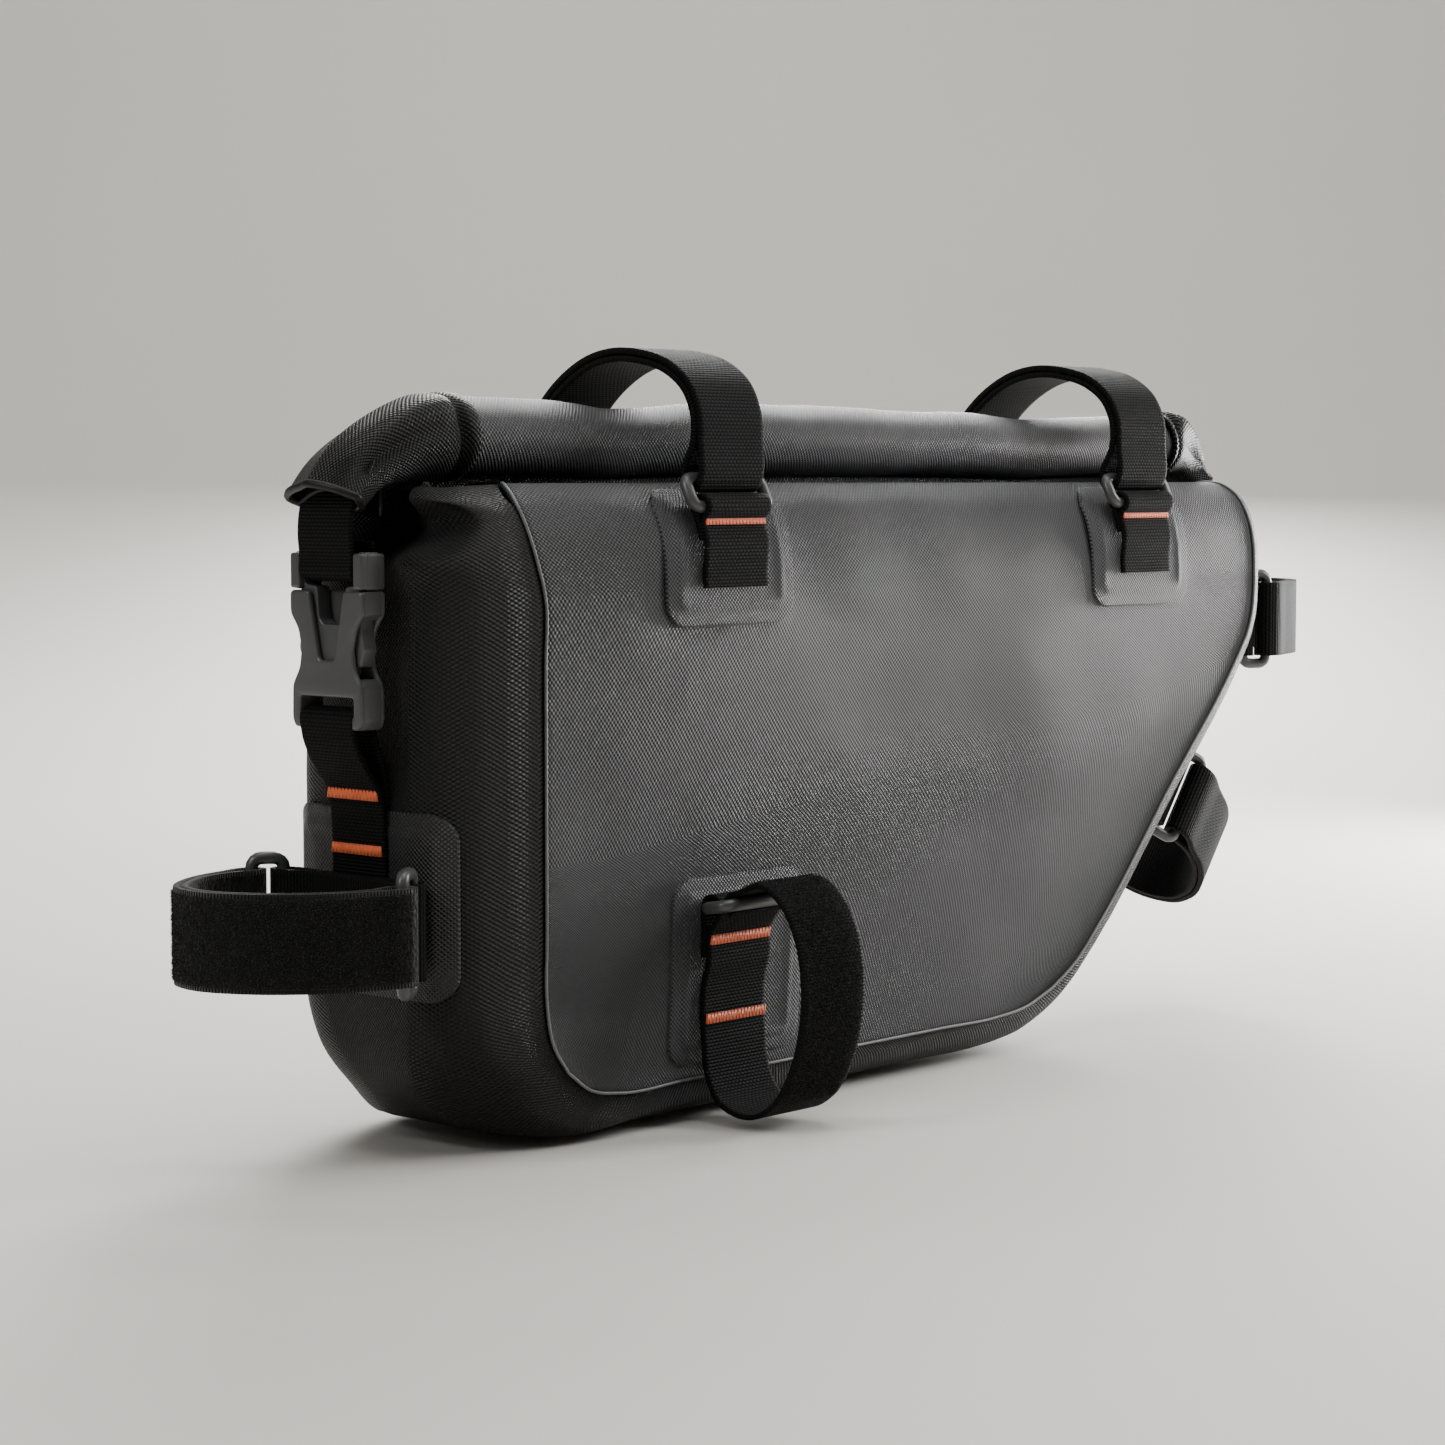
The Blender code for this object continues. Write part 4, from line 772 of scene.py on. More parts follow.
# %% Bands of webbing
def band(name, path, across, width, thick, finish, stands_for=(), closed=False, steps=5):
    """Webbing along a path of points. It returns the piece and its fine middle line."""
    path = np.array([tuple(point) for point in path])[:, None, :]
    line = fine(path, steps, closed)[:, 0]
    across = np.array(tuple(across)) / np.linalg.norm(tuple(across))
    shares = np.array([-0.5, -0.46, -0.25, 0, 0.25, 0.46, 0.5])
    net = line[:, None, :] + across[None, None, :] * (shares * width)[None, :, None]
    mesh = mesh_from_net(name, net, closed=closed)
    piece = dress(name, mesh, finish, stands_for, thick, 0)
    return piece, line


def wrap(centre, start, end):
    """Three points of a half turn round a bar, away from the strap."""
    radius = (start - centre).length
    from_start = (start - centre).normalized()
    outward = Vector((from_start.y, -from_start.x))
    turns = (math.radians(45), math.radians(90), math.radians(135))
    return [centre + (from_start * math.cos(turn) + outward * math.sin(turn)) * radius for turn in turns]


def folded_strap(line, bar_reach):
    """A closed path of two layers along a line between two bars, wrapped round each bar."""
    lengths = np.concatenate([[0], np.cumsum([(b - a).length for a, b in zip(line, line[1:])])])
    layers = (STRAP_THICK + STRAP_SPLIT) / 2
    first, second = [], []
    for i, point in enumerate(line):
        along = (line[min(i + 1, len(line) - 1)] - line[max(i - 1, 0)]).normalized()
        normal = Vector((-along.y, along.x))
        from_bar = min(lengths[i], lengths[-1] - lengths[i])
        apart = layers + (bar_reach - layers) * (1 - float(smooth(from_bar / CONVERGE)))
        first.append(point + normal * apart)
        second.append(point - normal * apart)
    return first + wrap(line[-1], first[-1], second[-1]) + second[::-1] + wrap(line[0], second[0], first[0])


def bar_arc(centre, start_degrees, end_degrees, radius, steps=4):
    """Points round a bar in Y-Z, degrees from +Y towards +Z."""
    turns = np.radians(np.linspace(start_degrees, end_degrees, steps + 1))
    return [Vector((centre[0] + radius * math.cos(t), centre[1] + radius * math.sin(t))) for t in turns]


def web_lift(layer=0):
    """How far webbing on a patch lies off the panel: layer 0 on the patch, 1 on another layer."""
    return GAP + PATCH_WALL + GAP + WEB_THICK / 2 + layer * (WEB_THICK + GAP)


print("webbing helpers ready")


# %% [markdown]
# The rings are moulded loops with rounded corners, oval in section from their long sides. A closed curve with
# a round bevel is all that they need.


# %% Rings
def ring_frame(name, middle, along, across, web=WEB):
    """A moulded loop: two bars square to the webbing, joined by its sides with rounded corners."""
    half_along = BARS_APART / 2
    half_across = web / 2 + RING_PLAY + BAR
    points = []
    for corner in range(4):
        sign_a, sign_b = ((1, 1), (-1, 1), (-1, -1), (1, -1))[corner]
        for degrees in (0, 22.5, 45, 67.5, 90):
            turn = math.radians(degrees + 90 * corner)
            a = sign_a * (half_along - RING_CORNER) + RING_CORNER * math.cos(turn)
            b = sign_b * (half_across - RING_CORNER) + RING_CORNER * math.sin(turn)
            points.append(middle + along.normalized() * a + across.normalized() * b)
    curve = bpy.data.curves.new(name, "CURVE")
    curve.dimensions = "3D"
    curve.bevel_depth = BAR
    curve.bevel_resolution = 4
    spline = curve.splines.new("POLY")
    spline.points.add(len(points) - 1)
    for point, at in zip(spline.points, points):
        point.co = (at.x - BASE_MIDDLE, at.y, at.z, 1)
    spline.use_cyclic_u = True
    guide = bpy.data.objects.new(name, curve)
    bpy.context.scene.collection.objects.link(guide)
    mesh = bpy.data.meshes.new_from_object(guide.evaluated_get(bpy.context.evaluated_depsgraph_get()))
    bpy.data.objects.remove(guide)
    mesh.materials.clear()
    mesh.shade_smooth()
    return dress(f"{name}_moulding", mesh, "moulded_plastic", [name])


# %% [markdown]
# ## Welded patches
# Behind each strap a second piece of cloth is welded on, with a rounded outline and a pressed border a few
# millimetres inside it. It is made of rings of points, from the rim to the middle: their height above the
# panel gives the rim's rounding and the border's ridge, and a function lays each point on the surface.


# %% Patches
def rounded_outline(half_wide, half_high, corner, count=24):
    """Points round a rounded rectangle, even in number on each quarter."""
    points = []
    for quarter, (sx, sz) in enumerate(((1, 1), (-1, 1), (-1, -1), (1, -1))):
        for step in range(count // 4 + 1):
            turn = math.radians(90 * (quarter + step / (count // 4)))
            x = sx * (half_wide - corner) + corner * math.cos(turn)
            points.append((x, sz * (half_high - corner) + corner * math.sin(turn)))
    return np.array(points)


PATCH_RINGS = (
    (0.0, 0.00),
    (0.15, 0.55),
    (0.6, 0.80),
    (3.4, 0.80),
    (4.2, 0.95),
    (5.0, 1.30),
    (6.0, 1.38),
    (7.0, 1.20),
    (8.0, 1.05),
    (11.0, 1.00),
)


def patch(name, lay, half_wide, half_high, corner, finish, stands_for, flip):
    """A welded patch; lay puts a point of its plane at a height over the surface."""
    flats, lifts = [], []
    for inset_mm, rise in PATCH_RINGS:
        inset = inset_mm * MM
        bend = max(corner - inset * 0.8, 1.5 * MM)
        flats.append(subdivided(rounded_outline(half_wide - inset, half_high - inset, bend, 32)))
        lifts.append(0.1 * MM + rise * PATCH_WALL)
    inner = flats[-1]
    for share in (0.75, 0.5, 0.25, 0.02):
        flats.append(inner * share)
        lifts.append(0.1 * MM + PATCH_WALL)
    flats = [np.concatenate([flat, flat[:1]]) for flat in flats]
    rings = [[tuple(lay(x, z, lift)) for x, z in flat] for flat, lift in zip(flats, lifts)]
    mesh = mesh_from_net(name, np.array(rings), flip=flip)
    repaint_uv(mesh, np.array(flats), flip)
    return dress(name, mesh, finish, stands_for)


def subdivided(points):
    """A closed outline with its long sides cut into shorter ones."""
    made = []
    for i, point in enumerate(points):
        after = points[(i + 1) % len(points)]
        cuts = 6 if i % 9 == 8 else 1
        made += [point + (after - point) * k / cuts for k in range(cuts)]
    return np.array(made)


def repaint_uv(mesh, flat, flip):
    """Takes a mesh's UV map from the flat shape its net was cut to."""
    count, across = flat.shape[:2]
    i, j = np.meshgrid(np.arange(count - 1), np.arange(across - 1), indexing="ij")
    uv = np.stack([flat[i, j], flat[i, j + 1], flat[i + 1, j + 1], flat[i + 1, j]], 2).reshape(-1, 4, 2)
    if flip:
        uv = uv[:, ::-1]
    mesh.uv_layers["cloth"].data.foreach_set("uv", uv.astype(np.float32).ravel())


# %% [markdown]
# ## The two straps over the top
# On a bicycle these hang the bag from the top tube. Each is a strap folded double through two rings, and
# each ring is held by webbing that is sewn to a patch. The strap's line is an arch given as shares of its
# half width and rise, so that it can be compared with the photograph point by point.

# %% Straps over the top
TOP_STATIONS = {"rear": 101 * MM, "front": 296 * MM}
TOP_PATCH, TOP_PATCH_LOW, TOP_PATCH_HIGH = 52 * MM, 134.5 * MM, 171.5 * MM
TOP_TAB_LOW, TOP_TAB_FOLD = 145 * MM, 157 * MM
TOP_BAR_LOW, TOP_BAR_HIGH = (37.6 * MM, 167.2 * MM), (33.8 * MM, 174.8 * MM)
ARCH_HALF, ARCH_TOP = 36 * MM, 209 * MM
ARCH = (
    (-0.995, 0.30),
    (-0.985, 0.52),
    (-0.890, 0.73),
    (-0.690, 0.89),
    (-0.420, 0.975),
    (-0.140, 1.00),
    (0.130, 0.95),
    (0.370, 0.83),
    (0.580, 0.66),
    (0.750, 0.45),
    (0.860, 0.22),
)
LENGTHWAYS = Vector((1, 0, 0))
BARTACKS = []
for where, x in TOP_STATIONS.items():
    for side, side_name in ((-1, "right"), (1, "left")):
        middle_z = (TOP_PATCH_LOW + TOP_PATCH_HIGH) / 2
        patch(
            f"top_{where}_patch_{side_name}_cloth",
            lambda a, b, lift: side_point(x + a, middle_z + b, lift, side),
            TOP_PATCH / 2, (TOP_PATCH_HIGH - TOP_PATCH_LOW) / 2, PATCH_CORNER,
            "welded_patch", [f"top_{where}_patch_{side_name}"], side > 0,
        )
        front = []
        for z in (TOP_TAB_LOW, 0.5 * (TOP_TAB_LOW + TOP_TAB_FOLD) - 2 * MM, TOP_TAB_FOLD, 162 * MM):
            front.append(side_point(x, z, web_lift(1 if z >= TOP_TAB_FOLD else 0), -1))
        out, height = TOP_BAR_LOW
        turn = [Vector((x, point.x, point.y)) for point in bar_arc((-out, height), 180, 0, BAR_WRAP)]
        back = [side_point(x, z, web_lift(), -1) for z in (163.4 * MM, 161.2 * MM, TOP_TAB_FOLD + 0.6 * MM)]
        path = [Vector((point.x, -side * point.y, point.z)) for point in front + turn + back]
        band(f"top_{where}_tab_{side_name}_web", path, LENGTHWAYS, WEB, WEB_THICK, "black_webbing",
             [f"top_{where}_tab_{side_name}"])
        BARTACKS.append((path[3], path[3] - path[2], LENGTHWAYS, Vector((0, side, 0.3)), WEB))
        low = Vector((x, side * TOP_BAR_LOW[0], TOP_BAR_LOW[1]))
        high = Vector((x, side * TOP_BAR_HIGH[0], TOP_BAR_HIGH[1]))
        ring_frame(f"top_{where}_ring_{side_name}", (low + high) / 2, high - low, LENGTHWAYS)
    bar_out, bar_height = TOP_BAR_HIGH
    line = [Vector((-bar_out, bar_height))]
    line += [Vector((share * ARCH_HALF, bar_height + rise * (ARCH_TOP - bar_height))) for share, rise in ARCH]
    line.append(Vector((bar_out, bar_height)))
    path = [Vector((x, point.x, point.y)) for point in folded_strap(line, STRAP_WRAP)]
    band(f"top_{where}_strap_web", path, LENGTHWAYS, WEB, STRAP_THICK, "black_webbing",
         [f"top_{where}_strap"], closed=True)
print("bartacks so far:", len(BARTACKS))

# %% [markdown]
# ## The straps at the ends
# Three more straps hold the bag to the seat tube, the head tube and the down tube. Each pair of rings sits
# on a doubled tab across the gusset, and the strap bows outwards between them.

# %% Surface of the ends
END_STATIONS = {
    "seat_tube": (59.5 * MM, 49 * MM, 60 * MM, 25 * MM, 53 * MM, 180, WEB_THICK + GAP),
    "head_tube": (127 * MM, 46 * MM, 46 * MM, 22 * MM, 57 * MM, 0, 2.2 * MM),
    "down_tube": (76 * MM, 50 * MM, 46 * MM, 22 * MM, 61 * MM, 37, 1.6 * MM),
}
PATCH_RISE, INNER_BAR_OUT, RING_LEAN = 5 * MM, 5.1 * MM, math.radians(32)
LOOP = (
    (-0.98, 0.42),
    (-0.88, 0.60),
    (-0.66, 0.77),
    (-0.34, 0.92),
    (0.05, 1.00),
    (0.42, 0.96),
    (0.72, 0.80),
    (0.92, 0.60),
    (0.99, 0.42),
)


def outline_at(length):
    """A point and outward normal on the outline, at a length from the foot of the front corner's arc."""
    reach = FRONT_CORNER * math.tan((math.pi / 2 - SLANT_ANGLE) / 2)
    centre = Vector((BODY_LENGTH - FRONT_CORNER, SLANT_TOP + reach))
    bend = math.pi / 2 - SLANT_ANGLE
    angle = min(max(length / FRONT_CORNER, 0), bend)
    normal = Vector((math.cos(bend - angle), -math.sin(bend - angle)))
    return centre + normal * FRONT_CORNER + Vector((-normal.y, normal.x)) * (length - angle * FRONT_CORNER), normal


def front_length(height):
    """The length along the slanted edge and front corner at which the outline reaches a height."""
    low, high = -SLANT_TOP / math.sin(SLANT_ANGLE), SHOULDER_HEIGHT
    for _ in range(40):
        middle = (low + high) / 2
        low, high = (middle, high) if outline_at(middle)[0].y < height else (low, middle)
    return low


def end_point(length, y, lift, at_rear, rounding):
    """A point lifted off the gusset; length is a height on the rear end, and runs along the outline in front."""
    base, normal = (Vector((0, length)), Vector((-1, 0))) if at_rear else outline_at(length)
    past = max(abs(y) - (HALF - rounding), 0)
    turn = math.copysign(math.asin(min(past / rounding, 1)), y)
    out = base + normal * (lift * math.cos(turn) - rounding * (1 - math.cos(turn)))
    return Vector((out.x, y + lift * math.sin(turn), out.y))


# %% Patches, tabs, rings and loops at the ends
PILE_BANDS = []
for name, (height, patch_length, patch_width, bar_half, reach, below, proud) in END_STATIONS.items():
    at_rear = name == "seat_tube"
    rounding = REAR_ROUND if at_rear else FRONT_ROUND
    middle = height if at_rear else front_length(height)
    shift = PATCH_RISE if at_rear else 0
    patch(
        f"{name}_patch_cloth",
        lambda a, b, lift: end_point(middle + shift + b, a, lift, at_rear, rounding),
        patch_width / 2, patch_length / 2, PATCH_CORNER,
        "gusset_patch", [f"{name}_patch"], not at_rear,
    )
    base = Vector((0, height)) if at_rear else outline_at(middle)[0]
    normal = Vector((math.cos(math.radians(below)), -math.sin(math.radians(below))))
    across = Vector((-normal.y, 0, normal.x))

    def outward(point):
        """From lateral and outward distances to the bag's space."""
        out = base + normal * point.y
        return Vector((out.x, point.x, out.y))

    web_flat = GAP * 3 + PATCH_WALL + WEB_THICK + STRAP_SPLIT / 2 + proud
    bar = INNER_BAR_OUT + proud
    line = [Vector((-bar_half, bar)), *[Vector((s * bar_half, web_flat)) for s in (-0.5, -0.2, 0.2, 0.5)]]
    line.append(Vector((bar_half, bar)))
    first, second = [], []
    for i, point in enumerate(line):
        apart = BAR_WRAP if i in (0, len(line) - 1) else (WEB_THICK + GAP) / 2
        first.append(point + Vector((0, apart)))
        second.append(point - Vector((0, apart)))
    tab = first + wrap(line[-1], first[-1], second[-1]) + second[::-1] + wrap(line[0], second[0], first[0])
    band(f"{name}_tab_web", [outward(p) for p in tab], across, WEB, WEB_THICK, "black_webbing",
         [f"{name}_tab"], closed=True)
    lean = Vector((math.sin(RING_LEAN), math.cos(RING_LEAN))) * BARS_APART
    for side, side_name in ((-1, "right"), (1, "left")):
        inner_bar = Vector((side * bar_half, bar))
        outer_bar = inner_bar + Vector((side * lean.x, lean.y))
        ring_frame(f"{name}_ring_{side_name}", outward((inner_bar + outer_bar) / 2),
                   outward(outer_bar) - outward(inner_bar), across)
    half = bar_half + lean.x
    loop = [Vector((-half, bar + lean.y)), *[Vector((s * half, out * reach)) for s, out in LOOP]]
    loop.append(Vector((half, bar + lean.y)))
    finish = "black_pile" if at_rear else "black_webbing"
    strap = [outward(point) for point in folded_strap(loop, STRAP_WRAP)]
    piece, line = band(f"{name}_strap_web", strap, across, WEB, STRAP_THICK, finish, [f"{name}_strap"], closed=True)
    if at_rear:
        PILE_BANDS.append((line, np.array(tuple(across)), len(loop) * 5))
    print(name, "dressed")

# %% [markdown]
# ## The strap on the right side
# One length of webbing does everything here: it is sewn to the patch, turns over the ring's bar, comes down
# the patch and swings out into a loop that goes back through the ring.

# %% The side strap
SIDE_X, SIDE_STRAP_X, SIDE_PATCH = 104 * MM, 100 * MM, 54 * MM
SIDE_PATCH_LOW, SIDE_PATCH_HIGH = 14 * MM, 66 * MM
SIDE_BAR_HEIGHT, SIDE_BAR_RISE, SIDE_FOLD_LOW = 58 * MM, 1.5 * MM, 44 * MM
SIDE_REACH, SIDE_TOP = 36 * MM, 64.5 * MM
SIDE_LOOP = (
    (0.00, 0.30),
    (0.03, 0.17),
    (0.14, 0.06),
    (0.32, 0.016),
    (0.52, 0.020),
    (0.72, 0.090),
    (0.88, 0.230),
    (0.98, 0.420),
    (1.00, 0.600),
    (0.94, 0.780),
    (0.80, 0.920),
    (0.60, 0.995),
)
side_middle = (SIDE_PATCH_LOW + SIDE_PATCH_HIGH) / 2
patch(
    "side_patch_cloth",
    lambda a, b, lift: side_point(SIDE_X + a, side_middle + b, lift, -1),
    SIDE_PATCH / 2, (SIDE_PATCH_HIGH - SIDE_PATCH_LOW) / 2, PATCH_CORNER,
    "welded_patch", ["side_patch"], False,
)
near = float(side_depth(SIDE_STRAP_X, SIDE_BAR_HEIGHT)) + web_lift()
inner_bar = Vector((-(near + BAR_WRAP), SIDE_BAR_HEIGHT))
outer_bar = inner_bar + Vector((-1, SIDE_BAR_RISE / BARS_APART)).normalized() * BARS_APART
path = [Vector((-near, SIDE_FOLD_LOW)), Vector((-near, SIDE_BAR_HEIGHT - 4 * MM))]
path += bar_arc(inner_bar, 0, 180, BAR_WRAP)
over = near + WEB_THICK + GAP
path += [Vector((-over, SIDE_BAR_HEIGHT - 8 * MM)), Vector((-over, SIDE_FOLD_LOW - 1 * MM))]
path.append(Vector((-near, SIDE_FOLD_LOW - 7 * MM)))
sewn = len(path)
floor = WEB_THICK / 2 + GAP
path += [Vector((-(near + out * SIDE_REACH), floor + rise * SIDE_TOP)) for out, rise in SIDE_LOOP]
path.append(outer_bar + Vector((0, BAR_WRAP)))
path += bar_arc(outer_bar, 60, -70, BAR_WRAP)
strip = [Vector((SIDE_STRAP_X, point.x, point.y)) for point in path]
_, line = band("side_strap_web", strip, LENGTHWAYS, WEB, WEB_THICK, "black_webbing", ["side_strap"])
PILE_BANDS.append((line[(sewn + 5) * 5 : (sewn + 12) * 5], np.array((1.0, 0, 0)), 35))
centre, along = (inner_bar + outer_bar) / 2, outer_bar - inner_bar
ring_frame("side_ring", Vector((SIDE_STRAP_X, centre.x, centre.y)), Vector((0, along.x, along.y)), LENGTHWAYS)
upright, facing = Vector((0, 0, 1)), Vector((0, -1, 0))
BARTACKS.append((Vector((SIDE_STRAP_X, -over, SIDE_BAR_HEIGHT - 9 * MM)), upright, LENGTHWAYS, facing, WEB))
BARTACKS.append((Vector((SIDE_STRAP_X, -near, SIDE_FOLD_LOW - 17 * MM)), upright, LENGTHWAYS, facing, WEB))
print("side strap points:", len(line))

# %% [markdown]
# ## The closure
# The buckle has two mouldings. The plug's tongue and arms slide into the socket, and pressing the arms at
# the waist lets it go. Flat curves with a rounded bevel give mouldings their soft edges at once, and the
# cavity is left to shade, because the plug fills it.

# %% Buckle
BUCKLE_OUT, BUCKLE_TOP, BUCKLE_WIDE = 9 * MM, 156 * MM, 28 * MM
PLUG_THICK, SOCKET_THICK, SOCKET_WALL = 4.4 * MM, 8.4 * MM, 1.6 * MM
POST, BUCKLE_BAR, POST_HIGH, SOCKET_HIGH = 3.7 * MM, 3.2 * MM, 9.7 * MM, 35.5 * MM
CLOSURE_LOW, FRONT_STRAP_LOW = 54 * MM, 143.5 * MM


def moulding(name, outlines, low, high, edge, stands_for=()):
    """A flat moulding in Y-Z between two distances out from the end, with rounded edges."""
    curve = bpy.data.curves.new(name, "CURVE")
    curve.dimensions = "2D"
    curve.fill_mode = "BOTH"
    curve.extrude = (high - low) / 2 - edge
    curve.bevel_depth = edge
    curve.bevel_resolution = 3
    curve.offset = -edge
    for points in outlines:
        spline = curve.splines.new("POLY")
        spline.points.add(len(points) - 1)
        for point, (y, z) in zip(spline.points, points):
            point.co = (y, z, 0, 1)
        spline.use_cyclic_u = True
    guide = bpy.data.objects.new(name, curve)
    bpy.context.scene.collection.objects.link(guide)
    bpy.context.view_layer.update()
    mesh = bpy.data.meshes.new_from_object(guide.evaluated_get(bpy.context.evaluated_depsgraph_get()))
    bpy.data.objects.remove(guide)
    work = bmesh.new()
    work.from_mesh(mesh)
    bmesh.ops.remove_doubles(work, verts=work.verts, dist=0.00001)
    for vertex in work.verts:
        y, z, depth = vertex.co
        vertex.co = (-(low + high) / 2 - depth - BASE_MIDDLE, y, z)
    bmesh.ops.recalc_face_normals(work, faces=work.faces)
    work.to_mesh(mesh)
    work.free()
    mesh.materials.clear()
    mesh.shade_smooth()
    mesh.set_sharp_from_angle(angle=math.radians(60))
    return dress(name, mesh, "moulded_plastic", stands_for)


def mirrored(half):
    """A full outline from its half at +Y."""
    return list(half) + [(-y, z) for y, z in half[::-1] if y > 0]


def rounded(points, radius, steps=4):
    """An outline with its corners rounded."""
    made = []
    points = [Vector(point) for point in points]
    for before, corner, after in zip(points[-1:] + points[:-1], points, points[1:] + points[:1]):
        a, b = (before - corner), (after - corner)
        reach = min(radius, 0.45 * a.length, 0.45 * b.length)
        start, end = corner + a.normalized() * reach, corner + b.normalized() * reach
        for step in range(steps + 1):
            t = step / steps
            made.append(tuple(start * (1 - t) ** 2 + corner * 2 * t * (1 - t) + end * t**2))
    return made


half = BUCKLE_WIDE / 2
inside = half - POST
post_low = BUCKLE_TOP - POST_HIGH
bar_top = BUCKLE_TOP - 2 * MM
bar_low = bar_top - BUCKLE_BAR
socket_top = post_low - GAP
socket_low = socket_top - SOCKET_HIGH
cavity_low = socket_low + 13 * MM
waist = socket_top - 0.42 * SOCKET_HIGH
arm_out = half - SOCKET_WALL - 0.9 * MM
arm_in = arm_out - 2.4 * MM
core = arm_in - 2.1 * MM
slot_low = socket_low + BUCKLE_BAR
print("buckle from", round(socket_low / MM, 1), "to", round(BUCKLE_TOP / MM, 1))

# %% The plug
plug = [
    (0, bar_top),
    (inside, bar_top),
    (inside, BUCKLE_TOP),
    (half, BUCKLE_TOP),
    (half, post_low),
    (arm_out, post_low),
    (arm_out, waist + 5 * MM),
    (arm_out + 1.2 * MM, waist),
    (arm_out - 0.5 * MM, waist - 4.5 * MM),
    (arm_in + 0.2 * MM, waist - 4.5 * MM),
    (arm_in, waist),
    (arm_in, post_low - 2.8 * MM),
    (core, post_low - 2.8 * MM),
    (core, cavity_low + 0.5 * MM),
    (0, cavity_low + 0.5 * MM),
]
window = [
    (0, bar_low),
    (inside, bar_low),
    (inside, post_low + 1.3 * MM),
    (5.5 * MM, post_low + 0.7 * MM),
    (4.8 * MM, post_low - 7.3 * MM),
    (3.2 * MM, post_low - 9 * MM),
    (0, post_low - 9 * MM),
]
outlines = [rounded(mirrored(plug), 0.9 * MM), rounded(mirrored(window), 0.9 * MM)]
moulding("buckle_plug_frame", outlines, BUCKLE_OUT - PLUG_THICK / 2, BUCKLE_OUT + PLUG_THICK / 2, 0.35 * MM,
         ["buckle_plug"])
for side in (-1, 1):
    post = [(side * (inside + 0.1 * MM), BUCKLE_TOP - 0.3 * MM), (side * (half - 0.1 * MM), BUCKLE_TOP - 0.3 * MM)]
    post += [(side * (half - 0.1 * MM), post_low + 0.2 * MM), (side * (inside + 0.1 * MM), post_low + 0.2 * MM)]
    name = "right" if side < 0 else "left"
    moulding(f"buckle_post_{name}", [rounded(post, 0.8 * MM)], BUCKLE_OUT - SOCKET_THICK / 2,
             BUCKLE_OUT + SOCKET_THICK / 2, 0.8 * MM)

# %% The socket
shell = [
    (0, socket_top),
    (half, socket_top),
    (half, socket_top - 6 * MM),
    (half - 3 * MM, waist + 5 * MM),
    (half - 4.2 * MM, waist),
    (half - 3.5 * MM, waist - 5 * MM),
    (half - 0.7 * MM, waist - 9.5 * MM),
    (half - 0.5 * MM, socket_low + 2.5 * MM),
    (half - 1.5 * MM, socket_low),
    (0, socket_low),
]
notched = [(0, waist - 3 * MM), (3 * MM, waist - 3 * MM), (6.5 * MM, socket_top - 1 * MM), (7 * MM, socket_top)]
slot = [(0, slot_low + 5 * MM), (inside, slot_low + 5 * MM), (inside, slot_low), (0, slot_low)]
room = PLUG_THICK / 2 + GAP
slot_hole = rounded(mirrored(slot), 1 * MM)
face = SOCKET_THICK / 2
moulding("buckle_socket_front", [rounded(mirrored(notched + shell[1:]), 1.4 * MM), slot_hole],
         BUCKLE_OUT + room, BUCKLE_OUT + face, 0.7 * MM, ["buckle_socket"])
moulding("buckle_socket_back", [rounded(mirrored(shell), 1.4 * MM), slot_hole],
         BUCKLE_OUT - face, BUCKLE_OUT - room, 0.7 * MM)
foot = [(0, cavity_low), (half - 2 * MM, cavity_low), *shell[6:9], (0, socket_low)]
moulding("buckle_socket_core", [rounded(mirrored(foot), 0.5 * MM), slot_hole],
         BUCKLE_OUT - room - 0.6 * MM, BUCKLE_OUT + room + 0.6 * MM, 0.2 * MM)
for side in (-1, 1):
    wall = [(side * (half - SOCKET_WALL), socket_top), (side * half, socket_top)]
    wall += [(side * half, socket_top - 6 * MM), (side * (half - SOCKET_WALL), socket_top - 7.5 * MM)]
    name = "right" if side < 0 else "left"
    moulding(f"buckle_socket_wall_{name}", [rounded(wall, 0.4 * MM)], BUCKLE_OUT - room - 0.6 * MM,
             BUCKLE_OUT + room + 0.6 * MM, 0.3 * MM)
print("buckle done")

# %% [markdown]
# The closure's webbing comes out of the folded end, turns round the plug's bar, and below the socket it runs
# down to the end patch, held by two bartacks. The path's points are the same as the solid's.

# %% Closure webbing
wrap_out = PLUG_THICK / 2 + BAR_PLAY + WEB_THICK / 2
under = bar_low - BAR_PLAY - WEB_THICK / 2
upper = [
    (4 * MM, 186 * MM),
    (-3.5 * MM, 181.5 * MM),
    (-9 * MM, 175 * MM),
    (-12.2 * MM, 167.5 * MM),
    (-BUCKLE_OUT - wrap_out - 0.6 * MM, 161 * MM),
    (-BUCKLE_OUT - wrap_out, bar_low + 3 * MM),
    (-BUCKLE_OUT - wrap_out, bar_low - 0.6 * MM),
    (-BUCKLE_OUT - wrap_out + 1 * MM, under),
    (-BUCKLE_OUT + wrap_out - 1 * MM, under),
    (-BUCKLE_OUT + wrap_out, bar_low - 0.6 * MM),
    (-BUCKLE_OUT + wrap_out, bar_low + 8 * MM),
]
above = slot_low + BAR_PLAY + WEB_THICK / 2
behind, lift = GAP + WEB_THICK / 2, web_lift()
